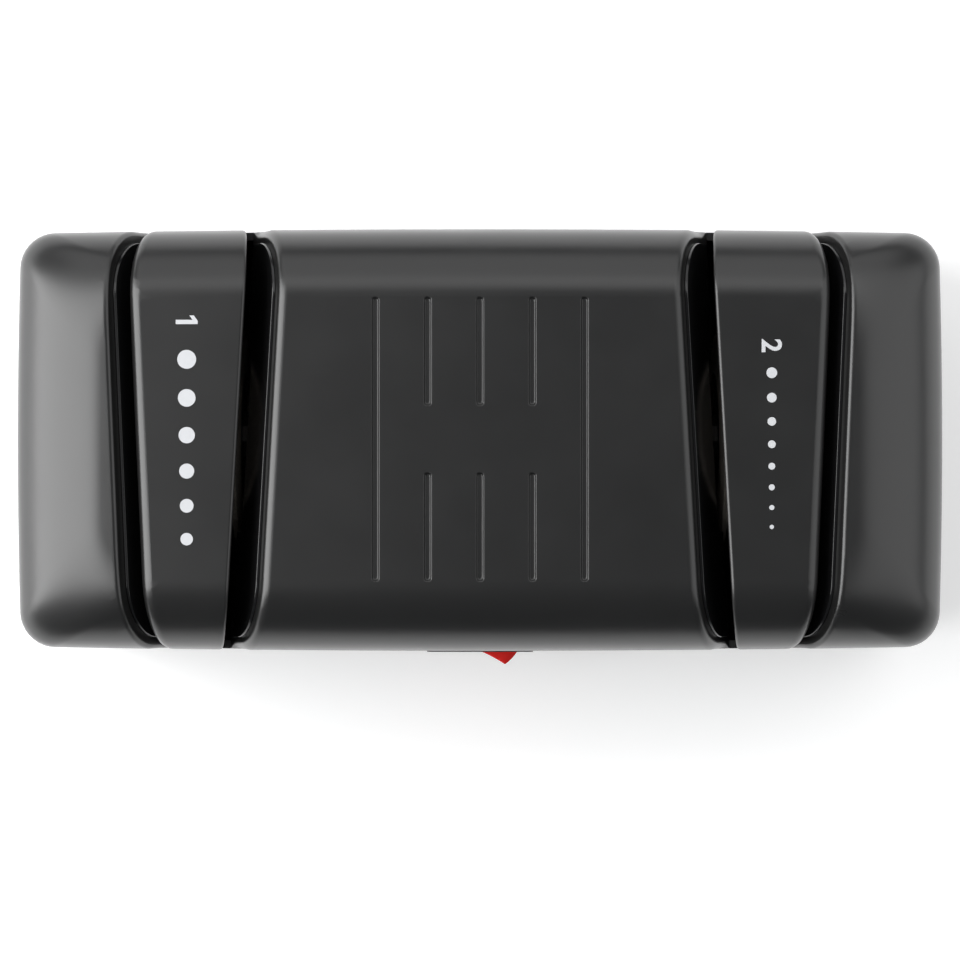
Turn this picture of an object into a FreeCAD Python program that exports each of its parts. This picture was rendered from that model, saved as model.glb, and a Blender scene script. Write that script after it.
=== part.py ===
import FreeCAD, Part
import math
import os
import re
import Sketcher
from FreeCAD import Placement, Rotation, Vector
from types import SimpleNamespace

# Electric knife sharpener with a coarse and a fine stage.
# X runs along the length (coarse stage at -X), Y from the switch at the front (-Y) to the back, Z up.
# The origin is under the middle of the base, on the plane that the four feet stand on.

doc = FreeCAD.newDocument("KnifeSharpener")
sheet = doc.addObject("Spreadsheet::Sheet", "Sizes")

# Driving sizes in millimetres and degrees
SIZES = {
    # outer form
    "top_height": 90.0,
    "rim_height": 4.0,
    "flat_half_length": 88.0,
    "flat_half_depth": 33.2,
    "side_round": 17.0,
    "end_round": 22.1,
    "end_drop": 17.0,
    "low_round": 11.0,
    "wall_draft": 1.5,
    "corner_round": 8.0,
    "inner_corner": 10.0,
    "shell_wall": 2.6,
    # knife slots
    "body_edge": 48.5,
    "cap_edge": 85.4,
    "bridge_inner_edge": 55.7,
    "bridge_outer_edge": 79.85,
    "inner_toe": 3.2,
    "outer_toe": 2.45,
    "guide_slant": 19.5,
    "bridge_slant": 9.0,
    "slot_depth": 25.0,
    "block_half": 60.0,
    "slot_wall": 2.2,
    "bridge_wall": 2.1,
    "guide_thickness": 0.75,
    "guide_setback": 3.3,
    "guide_depth": 22.0,
    "disc_gap_half": 22.0,
    "gap_half_length": 19.0,
    "wall_gap_under": 1.5,
    "guide_gap_under": 1.0,
    "window_over": 1.5,
    "tab_half": 5.0,
    "tab_wall": 1.8,
    "tab_drop": 8.0,
    "tab_rise": 4.0,
    # grip grooves in the top
    "groove_pitch": 12.15,
    "groove_radius": 0.85,
    "groove_half": 33.8,
    "groove_break": 7.8,
    # base
    "base_wall": 2.4,
    "fit_gap": 0.3,
    "overrun": 1.0,
    "bite": 0.1,
    "ease": 0.2,
    "post_x": 97.0,
    "post_y": 36.0,
    "post_radius": 4.5,
    "screw_radius": 1.5,
    "screw_head_radius": 3.0,
    "screw_head": 1.6,
    "screw_length": 12.0,
    "pilot_depth": 14.0,
    "motor_screw_bite": 5.0,
    "foot_x": 82.0,
    "foot_y": 38.0,
    "foot_radius": 7.0,
    "foot_flare": 1.0,
    "foot_stem_radius": 3.0,
    "vent_half": 1.5,
    "vent_pitch": 6.0,
    "vent_half_length": 5.0,
    "vent_front": -30.0,
    "vent_back": 38.0,
    # shaft and discs
    "shaft_height": 46.0,
    "shaft_radius": 4.0,
    "shaft_half": 87.5,
    "slip": 0.04,
    "seat": 0.02,
    "stage_centre": 67.7,
    "disc_face": 9.2,
    "disc_radius": 27.0,
    "grit_inner_radius": 17.0,
    "grit_thickness": 1.2,
    "disc_cone": 4.0,
    "carrier_radius": 26.0,
    "carrier_wall": 1.8,
    "hub_radius": 7.5,
    "hub_in": 5.4,
    "hub_out": 16.5,
    "pin_radius": 1.25,
    "pin_half": 7.0,
    "pin_place": 12.5,
    "disc_travel": 1.2,
    "clip_radius": 6.5,
    "clip_thickness": 0.9,
    "clip_gap": 0.15,
    "spring_wire": 1.2,
    "spring_radius": 5.8,
    "spring_turns": 3.0,
    # motor
    "stack_half": 11.0,
    "stack_front": 20.0,
    "stack_back": 38.0,
    "stack_half_height": 27.0,
    "stack_corner": 9.0,
    "bore_radius": 14.0,
    "air_gap": 0.35,
    "window_front": 20.0,
    "stack_leg": 10.0,
    "stack_arm": 10.0,
    "bobbin_gap": 0.3,
    "bobbin_wall": 1.0,
    "bobbin_flange": 1.5,
    "bobbin_reach": 7.5,
    "coil_depth": 5.7,
    "coil_round": 3.0,
    "end_ring": 3.5,
    "end_ring_radius": 13.0,
    "end_ring_bore": 8.0,
    "shade_bar": 2.2,
    "shade_front": 6.0,
    "shade_back": 15.6,
    "shade_height": 13.5,
    "bracket_wall": 1.6,
    "bracket_half": 9.0,
    "bracket_plate": 20.0,
    "bracket_leg": 16.0,
    "bracket_foot": 25.0,
    "stack_screw_height": 21.3,
    "stack_screw_radius": 1.6,
    "stack_screw_head": 2.4,
    "bush_radius": 6.5,
    "bush_in": 16.5,
    "bush_out": 24.5,
    "bush_flange_radius": 8.5,
    "bush_flange": 1.6,
    "washer_radius": 6.0,
    "washer_thickness": 1.2,
    "pad_thickness": 3.0,
    "pedestal_half": 8.0,
    "pedestal_width": 9.0,
    "pedestal_front": -14.0,
    "pedestal_back": 27.0,
    "fan_start": 30.0,
    "fan_width": 10.0,
    "fan_radius": 22.0,
    "fan_hub_radius": 7.5,
    "fan_blade": 1.2,
    "fan_pitch": 40.0,
    "fan_blades": 8,
    # rocker switch
    "switch_height": 28.0,
    "rocker_pivot": -47.0,
    "rocker_radius": 11.07,
    "rocker_rise": 5.46,
    "rocker_tip": 48.0,
    "rocker_end": 76.0,
    "rocker_half_angle": 13.3,
    "rocker_half_height": 5.1,
    "rocker_root": 2.0,
    "rocker_gap": 0.3,
    "trunnion_radius": 1.2,
    "trunnion_reach": 0.9,
    "bezel_half": 13.4,
    "bezel_half_height": 7.9,
    "bezel_front": -52.75,
    "bezel_corner": 1.5,
    "switch_half": 12.3,
    "switch_half_height": 6.4,
    "switch_back": -33.0,
    "terminal_x": 5.0,
    "terminal_half": 2.4,
    "terminal_thickness": 0.8,
    "terminal_length": 6.0,
    # lead inlet at the back
    "inlet_x": -30.0,
    "inlet_height": 20.0,
    "inlet_radius": 5.5,
    "inlet_bore": 3.7,
    "inlet_flange": 7.5,
    "inlet_proud": 2.5,
    "inlet_inside": 3.0,
    "inlet_bow": 1.4,
}

# Places worked out from the sizes
DERIVED = {
    "disc_top": "(shaft_height+disc_radius)",
    "slot_floor": "(top_height-slot_depth)",
    "guide_floor": "(top_height-guide_depth)",
    "wall_gap_top": "(shaft_height+disc_radius-wall_gap_under)",
    "guide_gap_top": "(shaft_height+disc_radius-guide_gap_under)",
    "window_top": "(shaft_height+disc_radius+window_over)",
    "side_wall": "(flat_half_depth+side_round)",
    "stack_low": "(shaft_height-stack_half_height)",
    "stack_high": "(shaft_height+stack_half_height)",
    "pad_low": "(shaft_height-stack_half_height-pad_thickness)",
}

# Sides of the turned pieces, which have few because they are small or hidden
DISC_SIDES = 24
HUB_SIDES = 12
SCREW_SIDES = 8
ROUND_SIDES = 20

for row, (alias, value) in enumerate(SIZES.items(), start=1):
    sheet.set(f"A{row}", alias)
    sheet.set(f"B{row}", str(value))
    sheet.setAlias(f"B{row}", alias)
doc.recompute()
S = SimpleNamespace(**{alias: float(sheet.get(alias)) for alias in SIZES})

ALIAS = re.compile(r"\b(" + "|".join(sorted(SIZES, key=len, reverse=True)) + r")\b")
STAGES = {"coarse": -1, "fine": 1}
nodes = []


def cells(formula):
    """Write out the derived places and turn the plain size names into references to the sheet."""
    text = re.sub(r"[a-z_]+", lambda word: DERIVED.get(word.group(), word.group()), str(formula))
    return ALIAS.sub(r"Sizes.\1", text)


def bind(thing, **formulas):
    """Tie properties to formulas of sizes; x, y and z tie the place."""
    for key, formula in formulas.items():
        path = f"Placement.Base.{key}" if key in "xyz" else key
        thing.setExpression(path, cells(formula))
    return thing


def part(name, thing):
    """Give a finished piece the name of its file."""
    thing.Label = name
    nodes.append(thing)
    return thing


def box(x, y, z):
    """A box between two formulas on each axis."""
    thing = doc.addObject("Part::Box", "Block")
    for key, (low, high) in zip(("Length", "Width", "Height"), (x, y, z)):
        thing.setExpression(key, cells(f"({high})-({low})"))
    return bind(thing, x=x[0], y=y[0], z=z[0])


TURNS = {"x": Rotation(Vector(0, 1, 0), 90), "y": Rotation(Vector(1, 0, 0), -90), "z": Rotation()}


def rod(axis, radius, start, end, x="0", y="0", z="0", sides=ROUND_SIDES):
    """A bar along an axis, from start to end, through the place given for the other two axes.
    Its corners lie on the radius. With no sides it is a true cylinder."""
    thing = doc.addObject("Part::Prism" if sides else "Part::Cylinder", "Rod")
    thing.Placement = Placement(Vector(), TURNS[axis])
    place = {"x": x, "y": y, "z": z}
    place[axis] = start
    bind(thing, Height=f"({end})-({start})", **place)
    if not sides:
        return bind(thing, Radius=radius)
    thing.Polygon = sides
    return bind(thing, Circumradius=radius)


def hole(axis, radius, start, end, x="0", y="0", z="0", sides=ROUND_SIDES):
    """A tool for a round hole. Its flats lie on the radius, so that a bar of that radius goes through."""
    return rod(axis, f"({radius})/cos(180/{sides})", start, end, x, y, z, sides)


def cut(base, *tools):
    """Take the tools from the base one after another."""
    for tool in tools:
        thing = doc.addObject("Part::Cut", "Cut")
        thing.Base = base
        thing.Tool = tool
        base = thing
    return base


def join(*pieces):
    thing = doc.addObject("Part::MultiFuse", "Join")
    thing.Shapes = list(pieces)
    return thing


def common(one, two):
    thing = doc.addObject("Part::Common", "Common")
    thing.Base = one
    thing.Tool = two
    return thing


def group(*pieces):
    thing = doc.addObject("Part::Compound", "Group")
    thing.Links = list(pieces)
    return thing


PLANES = {
    "xy": Rotation(),
    "xz": Rotation(Vector(1, 0, 0), 90),
    "yz": Rotation(Vector(1, 1, 1), 120),
}


def outline(plane, points, offset="0"):
    """A closed sketch of straight lines whose corners are formulas of sizes."""
    sketch = doc.addObject("Sketcher::SketchObject", "Outline")
    count = len(points)
    start = [Vector(math.cos(2 * math.pi * i / count), math.sin(2 * math.pi * i / count)) for i in range(count)]
    for i in range(count):
        sketch.addGeometry(Part.LineSegment(start[i], start[(i + 1) % count]))
    for i in range(count):
        sketch.addConstraint(Sketcher.Constraint("Coincident", i, 2, (i + 1) % count, 1))
    for i, point in enumerate(points):
        for kind, guess, formula in zip(("DistanceX", "DistanceY"), (start[i].x, start[i].y), point):
            index = sketch.addConstraint(Sketcher.Constraint(kind, -1, 1, i, 1, guess))
            sketch.setExpression(f"Constraints[{index}]", cells(formula))
    sketch.Placement = Placement(Vector(), PLANES[plane])
    across = {"xy": "z", "xz": "y", "yz": "x"}[plane]
    return bind(sketch, **{across: offset})


def slab(plane, points, start, end):
    """An outline pushed from start to end along the axis square to its plane."""
    sketch = outline(plane, points, start)
    thing = doc.addObject("Part::Extrusion", "Slab")
    thing.Base = sketch
    thing.DirMode = "Custom"
    thing.Dir = {"xy": Vector(0, 0, 1), "xz": Vector(0, 1, 0), "yz": Vector(1, 0, 0)}[plane]
    thing.Solid = True
    return bind(thing, LengthFwd=f"({end})-({start})")


def span(side, low, high):
    """Two formulas along X for one side of the middle, lowest first."""
    ends = (f"{side}*({low})", f"{side}*({high})")
    return ends if side > 0 else ends[::-1]


def tube(place, out, start, end, outer, bore, sides):
    """A ring about the shaft line, between two distances from a place, measured outwards (1) or inwards (-1)."""
    low, high = (f"({place})+({out})*({x})" for x in ((start, end) if out > 0 else (end, start)))
    bar = rod("x", outer, low, high, z="shaft_height", sides=sides)
    return cut(bar, hole("x", bore, f"{low}-overrun", f"{high}+overrun", z="shaft_height", sides=sides))


def solid_from(name, shape):
    """A piece whose shape no sketch or primitive gives, from sizes read in the sheet."""
    thing = doc.addObject("Part::Feature", name)
    thing.Shape = shape
    return thing


def skinned(name, rings):
    """A solid of flat triangles between rings of points, closed by a flat face at each end."""
    outlines = [rings[0], rings[-1]]
    for low, high in zip(rings, rings[1:]):
        for i in range(len(low)):
            j = (i + 1) % len(low)
            outlines += [[low[i], low[j], high[i]], [low[j], high[j], high[i]]]
    shell = Part.makeShell([Part.Face(Part.makePolygon(points + points[:1])) for points in outlines])
    shell.sewShape()
    solid = Part.Solid(shell)
    if solid.Volume < 0:
        solid.reverse()
    return solid_from(name, solid)


def circle(sides, radius, along, height=0.0):
    """Points round a line parallel to X at a height, at one place along it."""
    turns = [2 * math.pi * i / sides for i in range(sides)]
    return [Vector(along, radius * math.sin(t), height + radius * math.cos(t)) for t in turns]


# Outer form: an outline across each side and end, pushed straight through, and what the two have in common


def rolled(outward, flat, reach, drop, inset, bottom):
    """The form up to one outside, a given distance inside the outer face.
    Two arcs that touch each other roll the top over into the drafted wall."""
    small = min(S.low_round, drop)
    across = reach - small
    large = (across**2 + drop**2 - small**2) / (2 * (drop - small))
    meet = math.atan2(large - drop, across)
    top, shoulder = S.top_height, S.top_height - drop
    middle = -S.flat_half_depth / 2

    def at(out, height):
        return outward * out + Vector(0, 0, height)

    def arc(out, height, radius, start, end):
        angles = (start, (start + end) / 2, end)
        return Part.Arc(*[at(out + radius * math.cos(a), height + radius * math.sin(a)) for a in angles]).toShape()

    foot = flat + reach - inset + (shoulder - bottom) * math.tan(math.radians(S.wall_draft))
    corners = [at(flat, top - inset), at(middle, top - inset), at(middle, bottom), at(foot, bottom)]
    corners.append(at(flat + reach - inset, shoulder))
    edges = list(Part.makePolygon(corners).Edges)
    if meet > 0.001:
        edges.append(arc(flat + across, shoulder, small - inset, 0, meet))
    edges.append(arc(flat, top - large, large - inset, meet, math.pi / 2))
    face = Part.Face(Part.Wire(edges))
    along = Vector(outward.y, outward.x, 0) * (S.flat_half_length + 2 * S.end_round)
    face.translate(-along)
    return face.extrude(along * 2)


def form(inset, bottom):
    """The outer form, or the same form a given distance inside it, with its four upright corners still sharp."""
    pairs = []
    for outward, flat, reach, drop in (
        (Vector(0, 1, 0), S.flat_half_depth, S.side_round, S.side_round),
        (Vector(1, 0, 0), S.flat_half_length, S.end_round, S.end_drop),
    ):
        halves = [rolled(outward * sign, flat, reach, drop, inset, bottom) for sign in (1, -1)]
        pairs.append(halves[0].fuse(halves[1]).removeSplitter())
    return pairs[0].common(pairs[1]).removeSplitter()


def corner_edges(shape):
    """The sloping and upright edges at the four corners."""
    found = []
    for edge in shape.Edges:
        ends = [vertex.Point for vertex in edge.Vertexes]
        at_corner = all(abs(p.x) > S.flat_half_length - 1 and abs(p.y) > S.flat_half_depth - 1 for p in ends)
        if at_corner and abs(ends[0].z - ends[-1].z) > 1:
            found.append(edge)
    return found


def inner(inset, bottom):
    """The form inside the wall, whose upright corners are round and whose roll is left plain."""
    shape = form(inset, bottom)
    box = shape.BoundBox
    block = Part.makeBox(box.XLength, box.YLength, box.ZLength, Vector(box.XMin, box.YMin, box.ZMin))
    return shape.common(block.makeFillet(S.inner_corner, corner_edges(block)))


sharp_form = form(0.0, S.rim_height)
outer_form = solid_from("OuterForm", sharp_form.makeFillet(S.corner_round, corner_edges(sharp_form)))
inner_form = solid_from("InnerForm", inner(S.shell_wall, S.rim_height - 1.0))
guide_form = solid_from("GuideForm", form(S.guide_setback, S.rim_height))


def wedge(side, inner_edge, outer_edge, floor, slant):
    """A block across the whole depth whose two sides lean together going down and toe in at the front."""
    high = "(top_height+overrun*10)"
    halves = []
    for edge, toe, lean in ((inner_edge, "inner_toe", 1), (outer_edge, "outer_toe", -1)):
        far = f"{side}*(stage_centre+{lean}*block_half)"
        corners = []
        for height in (f"({floor})", high):
            place = f"({edge})+{lean}*((top_height-{height})*tan({slant})+block_half*tan({toe}))"
            corners.append((f"{side}*({place})", height))
        corners += [(far, high), (far, f"({floor})")]
        half = doc.addObject("Part::Extrusion", "Half")
        half.Base = outline("xz", corners, "-block_half")
        half.DirMode = "Custom"
        half.Dir = Vector(-side * lean * math.tan(math.radians(sheet.get(toe))), 1, 0)
        half.Solid = True
        halves.append(bind(half, LengthFwd=f"2*block_half/cos({toe})"))
    return common(*halves)


def upper_shell():
    posts = []
    pilots = []
    for x in ("post_x", "-post_x"):
        for y in ("post_y", "-post_y"):
            posts.append(rod("z", "post_radius", "rim_height+base_wall", "top_height", x=x, y=y, sides=HUB_SIDES))
            top = "rim_height+base_wall+pilot_depth"
            pilots.append(rod("z", "screw_radius-bite", "rim_height+base_wall", top, x=x, y=y, sides=SCREW_SIDES))
    slots = []
    keep = list(posts)
    for side in STAGES.values():
        slots.append(wedge(side, "body_edge", "cap_edge", "slot_floor", "guide_slant"))
        back = "slot_wall/cos(guide_slant)"
        walls = wedge(side, f"body_edge-{back}", f"cap_edge+{back}", "slot_floor", "guide_slant")
        mid = f"{side}*stage_centre"
        wide = (f"{mid}-gap_half_length", f"{mid}+gap_half_length")
        gap = box(wide, ("-disc_gap_half", "disc_gap_half"), ("shaft_height", "wall_gap_top"))
        keep.append(cut(walls, gap))
    cavity = cut(inner_form, *keep)
    switch_hole = box(
        ("-switch_half-bite", "switch_half+bite"),
        ("-block_half", "rocker_pivot+shell_wall"),
        ("switch_height-switch_half_height-bite", "switch_height+switch_half_height+bite"),
    )
    inlet_hole = hole("y", "inlet_radius+bite", "flat_half_depth", "block_half", x="inlet_x", z="inlet_height")
    grooves = []
    for count in (-2, -1, 0, 1, 2):
        spans = [("-groove_half", "groove_half")]
        if abs(count) < 2:
            spans = [("-groove_half", "-groove_break"), ("groove_break", "groove_half")]
        for low, high in spans:
            x = f"{count}*groove_pitch"
            grooves.append(rod("y", "groove_radius", low, high, x=x, z="top_height", sides=HUB_SIDES))
    holes = group(switch_hole, inlet_hole, *pilots)
    part("upper_shell", cut(outer_form, cavity, *slots, holes, group(*grooves)))


def bridge(stage, side):
    """The saddle between the two slots of a stage, which covers the discs."""
    block = wedge(side, "bridge_inner_edge", "bridge_outer_edge", "slot_floor", "bridge_slant")
    skin = common(outer_form, block)
    thick = "bridge_wall/cos(bridge_slant)"
    core = wedge(side, f"bridge_inner_edge+{thick}", f"bridge_outer_edge-{thick}", "slot_floor-overrun", "bridge_slant")
    hollow = common(inner_form, core)
    mid = f"{side}*stage_centre"
    span_x = (f"{mid}-gap_half_length", f"{mid}+gap_half_length")
    window = box(span_x, ("-disc_gap_half", "disc_gap_half"), ("shaft_height", "window_top"))
    tabs = []
    wide = (f"{mid}-tab_half", f"{mid}+tab_half")
    inside = "side_wall-shell_wall-fit_gap"
    for low, high in ((f"{inside}-tab_wall", inside), (f"-({inside})", f"-({inside})+tab_wall")):
        tabs.append(box(wide, (low, high), ("slot_floor-tab_drop", "slot_floor+tab_rise")))
    for low, high in ((f"{inside}-tab_wall", f"{inside}+overrun"), (f"-({inside})-overrun", f"-({inside})+tab_wall")):
        tabs.append(box(wide, (low, high), ("slot_floor", "slot_floor+tab_rise")))
    part(f"{stage}_bridge", join(cut(skin, hollow, window), *tabs))


def guides(stage, side):
    """The two smooth liners that hold a blade at its angle, one on each outside wall of the slots."""
    lean = "guide_thickness/cos(guide_slant)"
    gap_x = (f"{side}*stage_centre-gap_half_length", f"{side}*stage_centre+gap_half_length")
    whole = wedge(side, "body_edge", "cap_edge", "guide_floor", "guide_slant")
    open_part = wedge(side, f"body_edge+{lean}", f"cap_edge-{lean}", "guide_floor-overrun", "guide_slant")
    gap = box(gap_x, ("-disc_gap_half", "disc_gap_half"), ("shaft_height", "guide_gap_top"))
    liner = cut(common(guide_form, whole), open_part, gap)
    for place, low, high in (("inner", "0", "stage_centre"), ("outer", "stage_centre", "2*stage_centre")):
        half = box(span(side, low, high), ("-block_half", "block_half"), ("slot_floor", "top_height"))
        part(f"{stage}_{place}_guide", common(liner, half))


def base_plate():
    whole = solid_from("BaseForm", inner(S.shell_wall + S.fit_gap, S.rim_height))
    through = ("rim_height-overrun", "rim_height+base_wall+overrun")
    sunk = ("rim_height-overrun", "rim_height+screw_head")
    half = "flat_half_length+end_round+shell_wall"
    plate = common(whole, box((f"-({half})", half), ("-block_half", "block_half"), ("0", "rim_height+base_wall")))
    bores = []
    seats = []
    for x in ("post_x", "-post_x"):
        for y in ("post_y", "-post_y"):
            bores.append(hole("z", "screw_radius+ease", *through, x=x, y=y, sides=SCREW_SIDES))
            seats.append(hole("z", "screw_head_radius+ease", *sunk, x=x, y=y, sides=SCREW_SIDES))
    for x in ("foot_x", "-foot_x"):
        for y in ("foot_y", "-foot_y"):
            bores.append(hole("z", "foot_stem_radius", *through, x=x, y=y, sides=SCREW_SIDES))
    for count in range(-3, 4):
        for y in ("vent_front", "vent_back"):
            across = (f"{count}*vent_pitch-vent_half", f"{count}*vent_pitch+vent_half")
            bores.append(box(across, (f"{y}-vent_half_length", f"{y}+vent_half_length"), through))
    pedestals = []
    for y in ("pedestal_front", "pedestal_back"):
        deep = (f"{y}-pedestal_width/2", f"{y}+pedestal_width/2")
        pedestals.append(box(("-pedestal_half", "pedestal_half"), deep, ("rim_height", "pad_low")))
        bores.append(hole("z", "screw_radius+ease", "rim_height-overrun", "pad_low+overrun", y=y, sides=SCREW_SIDES))
        seats.append(hole("z", "screw_head_radius+ease", *sunk, y=y, sides=SCREW_SIDES))
    part("base_plate", cut(join(plate, *pedestals), group(*bores), group(*seats)))


def screw(place_x, place_y, head_low, tip):
    """A screw driven up from below, its head flush in its counterbore."""
    neck = f"{head_low}+screw_head"
    head = rod("z", "screw_head_radius", head_low, neck, x=place_x, y=place_y, sides=SCREW_SIDES)
    shank = rod("z", "screw_radius-bite", neck, tip, x=place_x, y=place_y, sides=SCREW_SIDES)
    return join(head, shank)


def base_hardware():
    screws = []
    feet = []
    for x in ("post_x", "-post_x"):
        for y in ("post_y", "-post_y"):
            screws.append(screw(x, y, "rim_height", "rim_height+screw_head+screw_length"))
    part("base_screws", group(*screws))
    rings = []
    for radius, height in ((S.foot_radius - S.foot_flare, 0.0), (S.foot_radius, S.rim_height)):
        rings.append([Vector(p.z, p.y, height) for p in circle(ROUND_SIDES, radius, 0.0)])
    foot_pad = skinned("FootPad", rings)
    for x in ("foot_x", "-foot_x"):
        for y in ("foot_y", "-foot_y"):
            pad = doc.addObject("Part::Compound", "Pad")
            pad.Links = [foot_pad]
            bind(pad, x=x, y=y)
            stem = rod("z", "foot_stem_radius-seat", "0", "rim_height+base_wall+overrun", x=x, y=y, sides=SCREW_SIDES)
            feet.append(join(pad, stem))
    part("rubber_feet", group(*feet))
    pads = []
    screws = []
    for y in ("pedestal_front", "pedestal_back"):
        deep = (f"{y}-pedestal_width/2", f"{y}+pedestal_width/2")
        pad = box(("-pedestal_half", "pedestal_half"), deep, ("pad_low", "stack_low"))
        bore = hole("z", "screw_radius+ease", "pad_low-overrun", "stack_low+overrun", y=y, sides=SCREW_SIDES)
        pads.append(cut(pad, bore))
        screws.append(screw("0", y, "rim_height", "stack_low+motor_screw_bite"))
    part("motor_pads", group(*pads))
    part("motor_screws", group(*screws))


def motor():
    mid = "shaft_height"
    low, high = "stack_low", "stack_high"
    plate = [
        ("-stack_front+stack_corner", low),
        ("stack_back", low),
        ("stack_back", high),
        ("-stack_front+stack_corner", high),
        ("-stack_front", f"{high}-stack_corner"),
        ("-stack_front", f"{low}+stack_corner"),
    ]
    block = slab("yz", plate, "-stack_half", "stack_half")
    ends = ("-stack_half-overrun", "stack_half+overrun")
    leg_front = "stack_back-stack_leg"
    window = box(ends, ("window_front", leg_front), (f"{low}+stack_arm", f"{high}-stack_arm"))
    cuts = [hole("x", "bore_radius", *ends, z=mid, sides=DISC_SIDES), window]
    for sign in ("+", "-"):
        height = f"{mid}{sign}stack_screw_height"
        cuts.append(hole("x", "stack_screw_radius+seat", *ends, z=height, sides=SCREW_SIDES))
        shade = f"{mid}{sign}(shade_height+shade_bar/2)"
        for y in ("shade_front", "shade_back"):
            span = (f"{shade}-shade_bar/2", f"{shade}+shade_bar/2")
            cuts.append(box(ends, (y, f"{y}+shade_bar"), span))
    for y in ("pedestal_front", "pedestal_back"):
        deep = ("stack_low-overrun", "stack_low+motor_screw_bite+ease")
        cuts.append(hole("z", "screw_radius-bite+seat", *deep, y=y, sides=SCREW_SIDES))
    part("stator_core", cut(block, *cuts))

    loops = []
    for sign in ("+", "-"):
        shade = f"{mid}{sign}(shade_height+shade_bar/2)"
        span = (f"{shade}-shade_bar/2", f"{shade}+shade_bar/2")
        reach = ("-stack_half-shade_bar", "stack_half+shade_bar")
        whole = box(reach, ("shade_front", "shade_back+shade_bar"), span)
        inside = box(("-stack_half", "stack_half"), ("shade_front+shade_bar", "shade_back"), ("0", "top_height"))
        loops.append(cut(whole, inside))
    part("shading_rings", group(*loops))

    gap = "bobbin_gap"
    tube_x = (f"-stack_half-{gap}-bobbin_wall", f"stack_half+{gap}+bobbin_wall")
    tube_y = (f"{leg_front}-{gap}-bobbin_wall", f"stack_back+{gap}+bobbin_wall")
    tube_z = (f"{low}+stack_arm+{gap}", f"{high}-stack_arm-{gap}")
    spool = [box(tube_x, tube_y, tube_z)]
    wide_x = (f"{tube_x[0]}-bobbin_reach+overrun", f"{tube_x[1]}+bobbin_reach-overrun")
    wide_y = (f"{tube_y[0]}-coil_depth-bobbin_gap", f"{tube_y[1]}+bobbin_reach")
    spool.append(box(wide_x, wide_y, (tube_z[0], f"{tube_z[0]}+bobbin_flange")))
    spool.append(box(wide_x, wide_y, (f"{tube_z[1]}-bobbin_flange", tube_z[1])))
    leg_y = (f"{leg_front}-{gap}", f"stack_back+{gap}")
    leg = box((f"-stack_half-{gap}", f"stack_half+{gap}"), leg_y, ("0", "top_height"))
    part("coil_bobbin", cut(join(*spool), leg))
    coil_z = (f"{tube_z[0]}+bobbin_flange", f"{tube_z[1]}-bobbin_flange")
    round_box = doc.addObject("Part::Fillet", "RoundCoil")
    coil_x = (f"{tube_x[0]}-coil_depth", f"{tube_x[1]}+coil_depth")
    coil_y = (f"{tube_y[0]}-coil_depth", f"{tube_y[1]}+coil_depth")
    round_box.Base = box(coil_x, coil_y, coil_z)
    doc.recompute()
    upright = [
        i
        for i, edge in enumerate(round_box.Base.Shape.Edges, start=1)
        if abs(edge.Vertexes[0].Z - edge.Vertexes[-1].Z) > 1
    ]
    round_box.Edges = [(i, S.coil_round, S.coil_round) for i in upright]
    part("field_winding", cut(round_box, box(tube_x, tube_y, ("0", "top_height"))))

    for name, sign in (("left", -1), ("right", 1)):
        x = f"{sign}*("
        reach = {}
        for key, a, b in (
            ("foot", "stack_half", "stack_half+bracket_wall"),
            ("leg", "stack_half", "bracket_plate+bracket_wall"),
            ("plate", "bracket_plate", "bracket_plate+bracket_wall"),
        ):
            ends_x = (f"{x}{a})", f"{x}{b})")
            reach[key] = ends_x if sign > 0 else ends_x[::-1]
        side = ("-bracket_half", "bracket_half")
        solids = [box(reach["plate"], side, (f"{mid}-bracket_leg-bracket_wall", f"{mid}+bracket_leg+bracket_wall"))]
        tools = []
        for up in ("+", "-"):
            leg_z = (f"{mid}{up}bracket_leg", f"{mid}{up}(bracket_leg+bracket_wall)")
            foot_z = (f"{mid}{up}bracket_leg", f"{mid}{up}bracket_foot")
            solids.append(box(reach["leg"], side, leg_z if up == "+" else leg_z[::-1]))
            solids.append(box(reach["foot"], side, foot_z if up == "+" else foot_z[::-1]))
            height = f"{mid}{up}stack_screw_height"
            tools.append(hole("x", "stack_screw_radius+seat", "-fan_start", "fan_start", z=height, sides=SCREW_SIDES))
        tools.append(hole("x", "bush_radius+seat", "-fan_start", "fan_start", z=mid, sides=HUB_SIDES))
        part(f"{name}_motor_bracket", cut(join(*solids), *tools))
        barrel = tube("0", sign, "bush_in", "bush_out", "bush_radius", "shaft_radius+slip", HUB_SIDES)
        collar = tube(
            "0", sign, "bracket_plate-bush_flange", "bracket_plate", "bush_flange_radius", "shaft_radius+slip", HUB_SIDES
        )
        part(f"{name}_bush", join(barrel, collar))

    bolts = []
    for up in ("+", "-"):
        z = f"{mid}{up}stack_screw_height"
        grip = "stack_half+bracket_wall"
        shank = rod("x", "stack_screw_radius", f"-({grip})", grip, z=z, sides=SCREW_SIDES)
        head = rod("x", "stack_screw_radius*2", grip, f"{grip}+stack_screw_head", z=z, sides=6)
        nut = rod("x", "stack_screw_radius*2", f"-({grip}+stack_screw_head)", f"-({grip})", z=z, sides=6)
        bolts.append(join(shank, head, nut))
    part("stack_bolts", group(*bolts))


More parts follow.
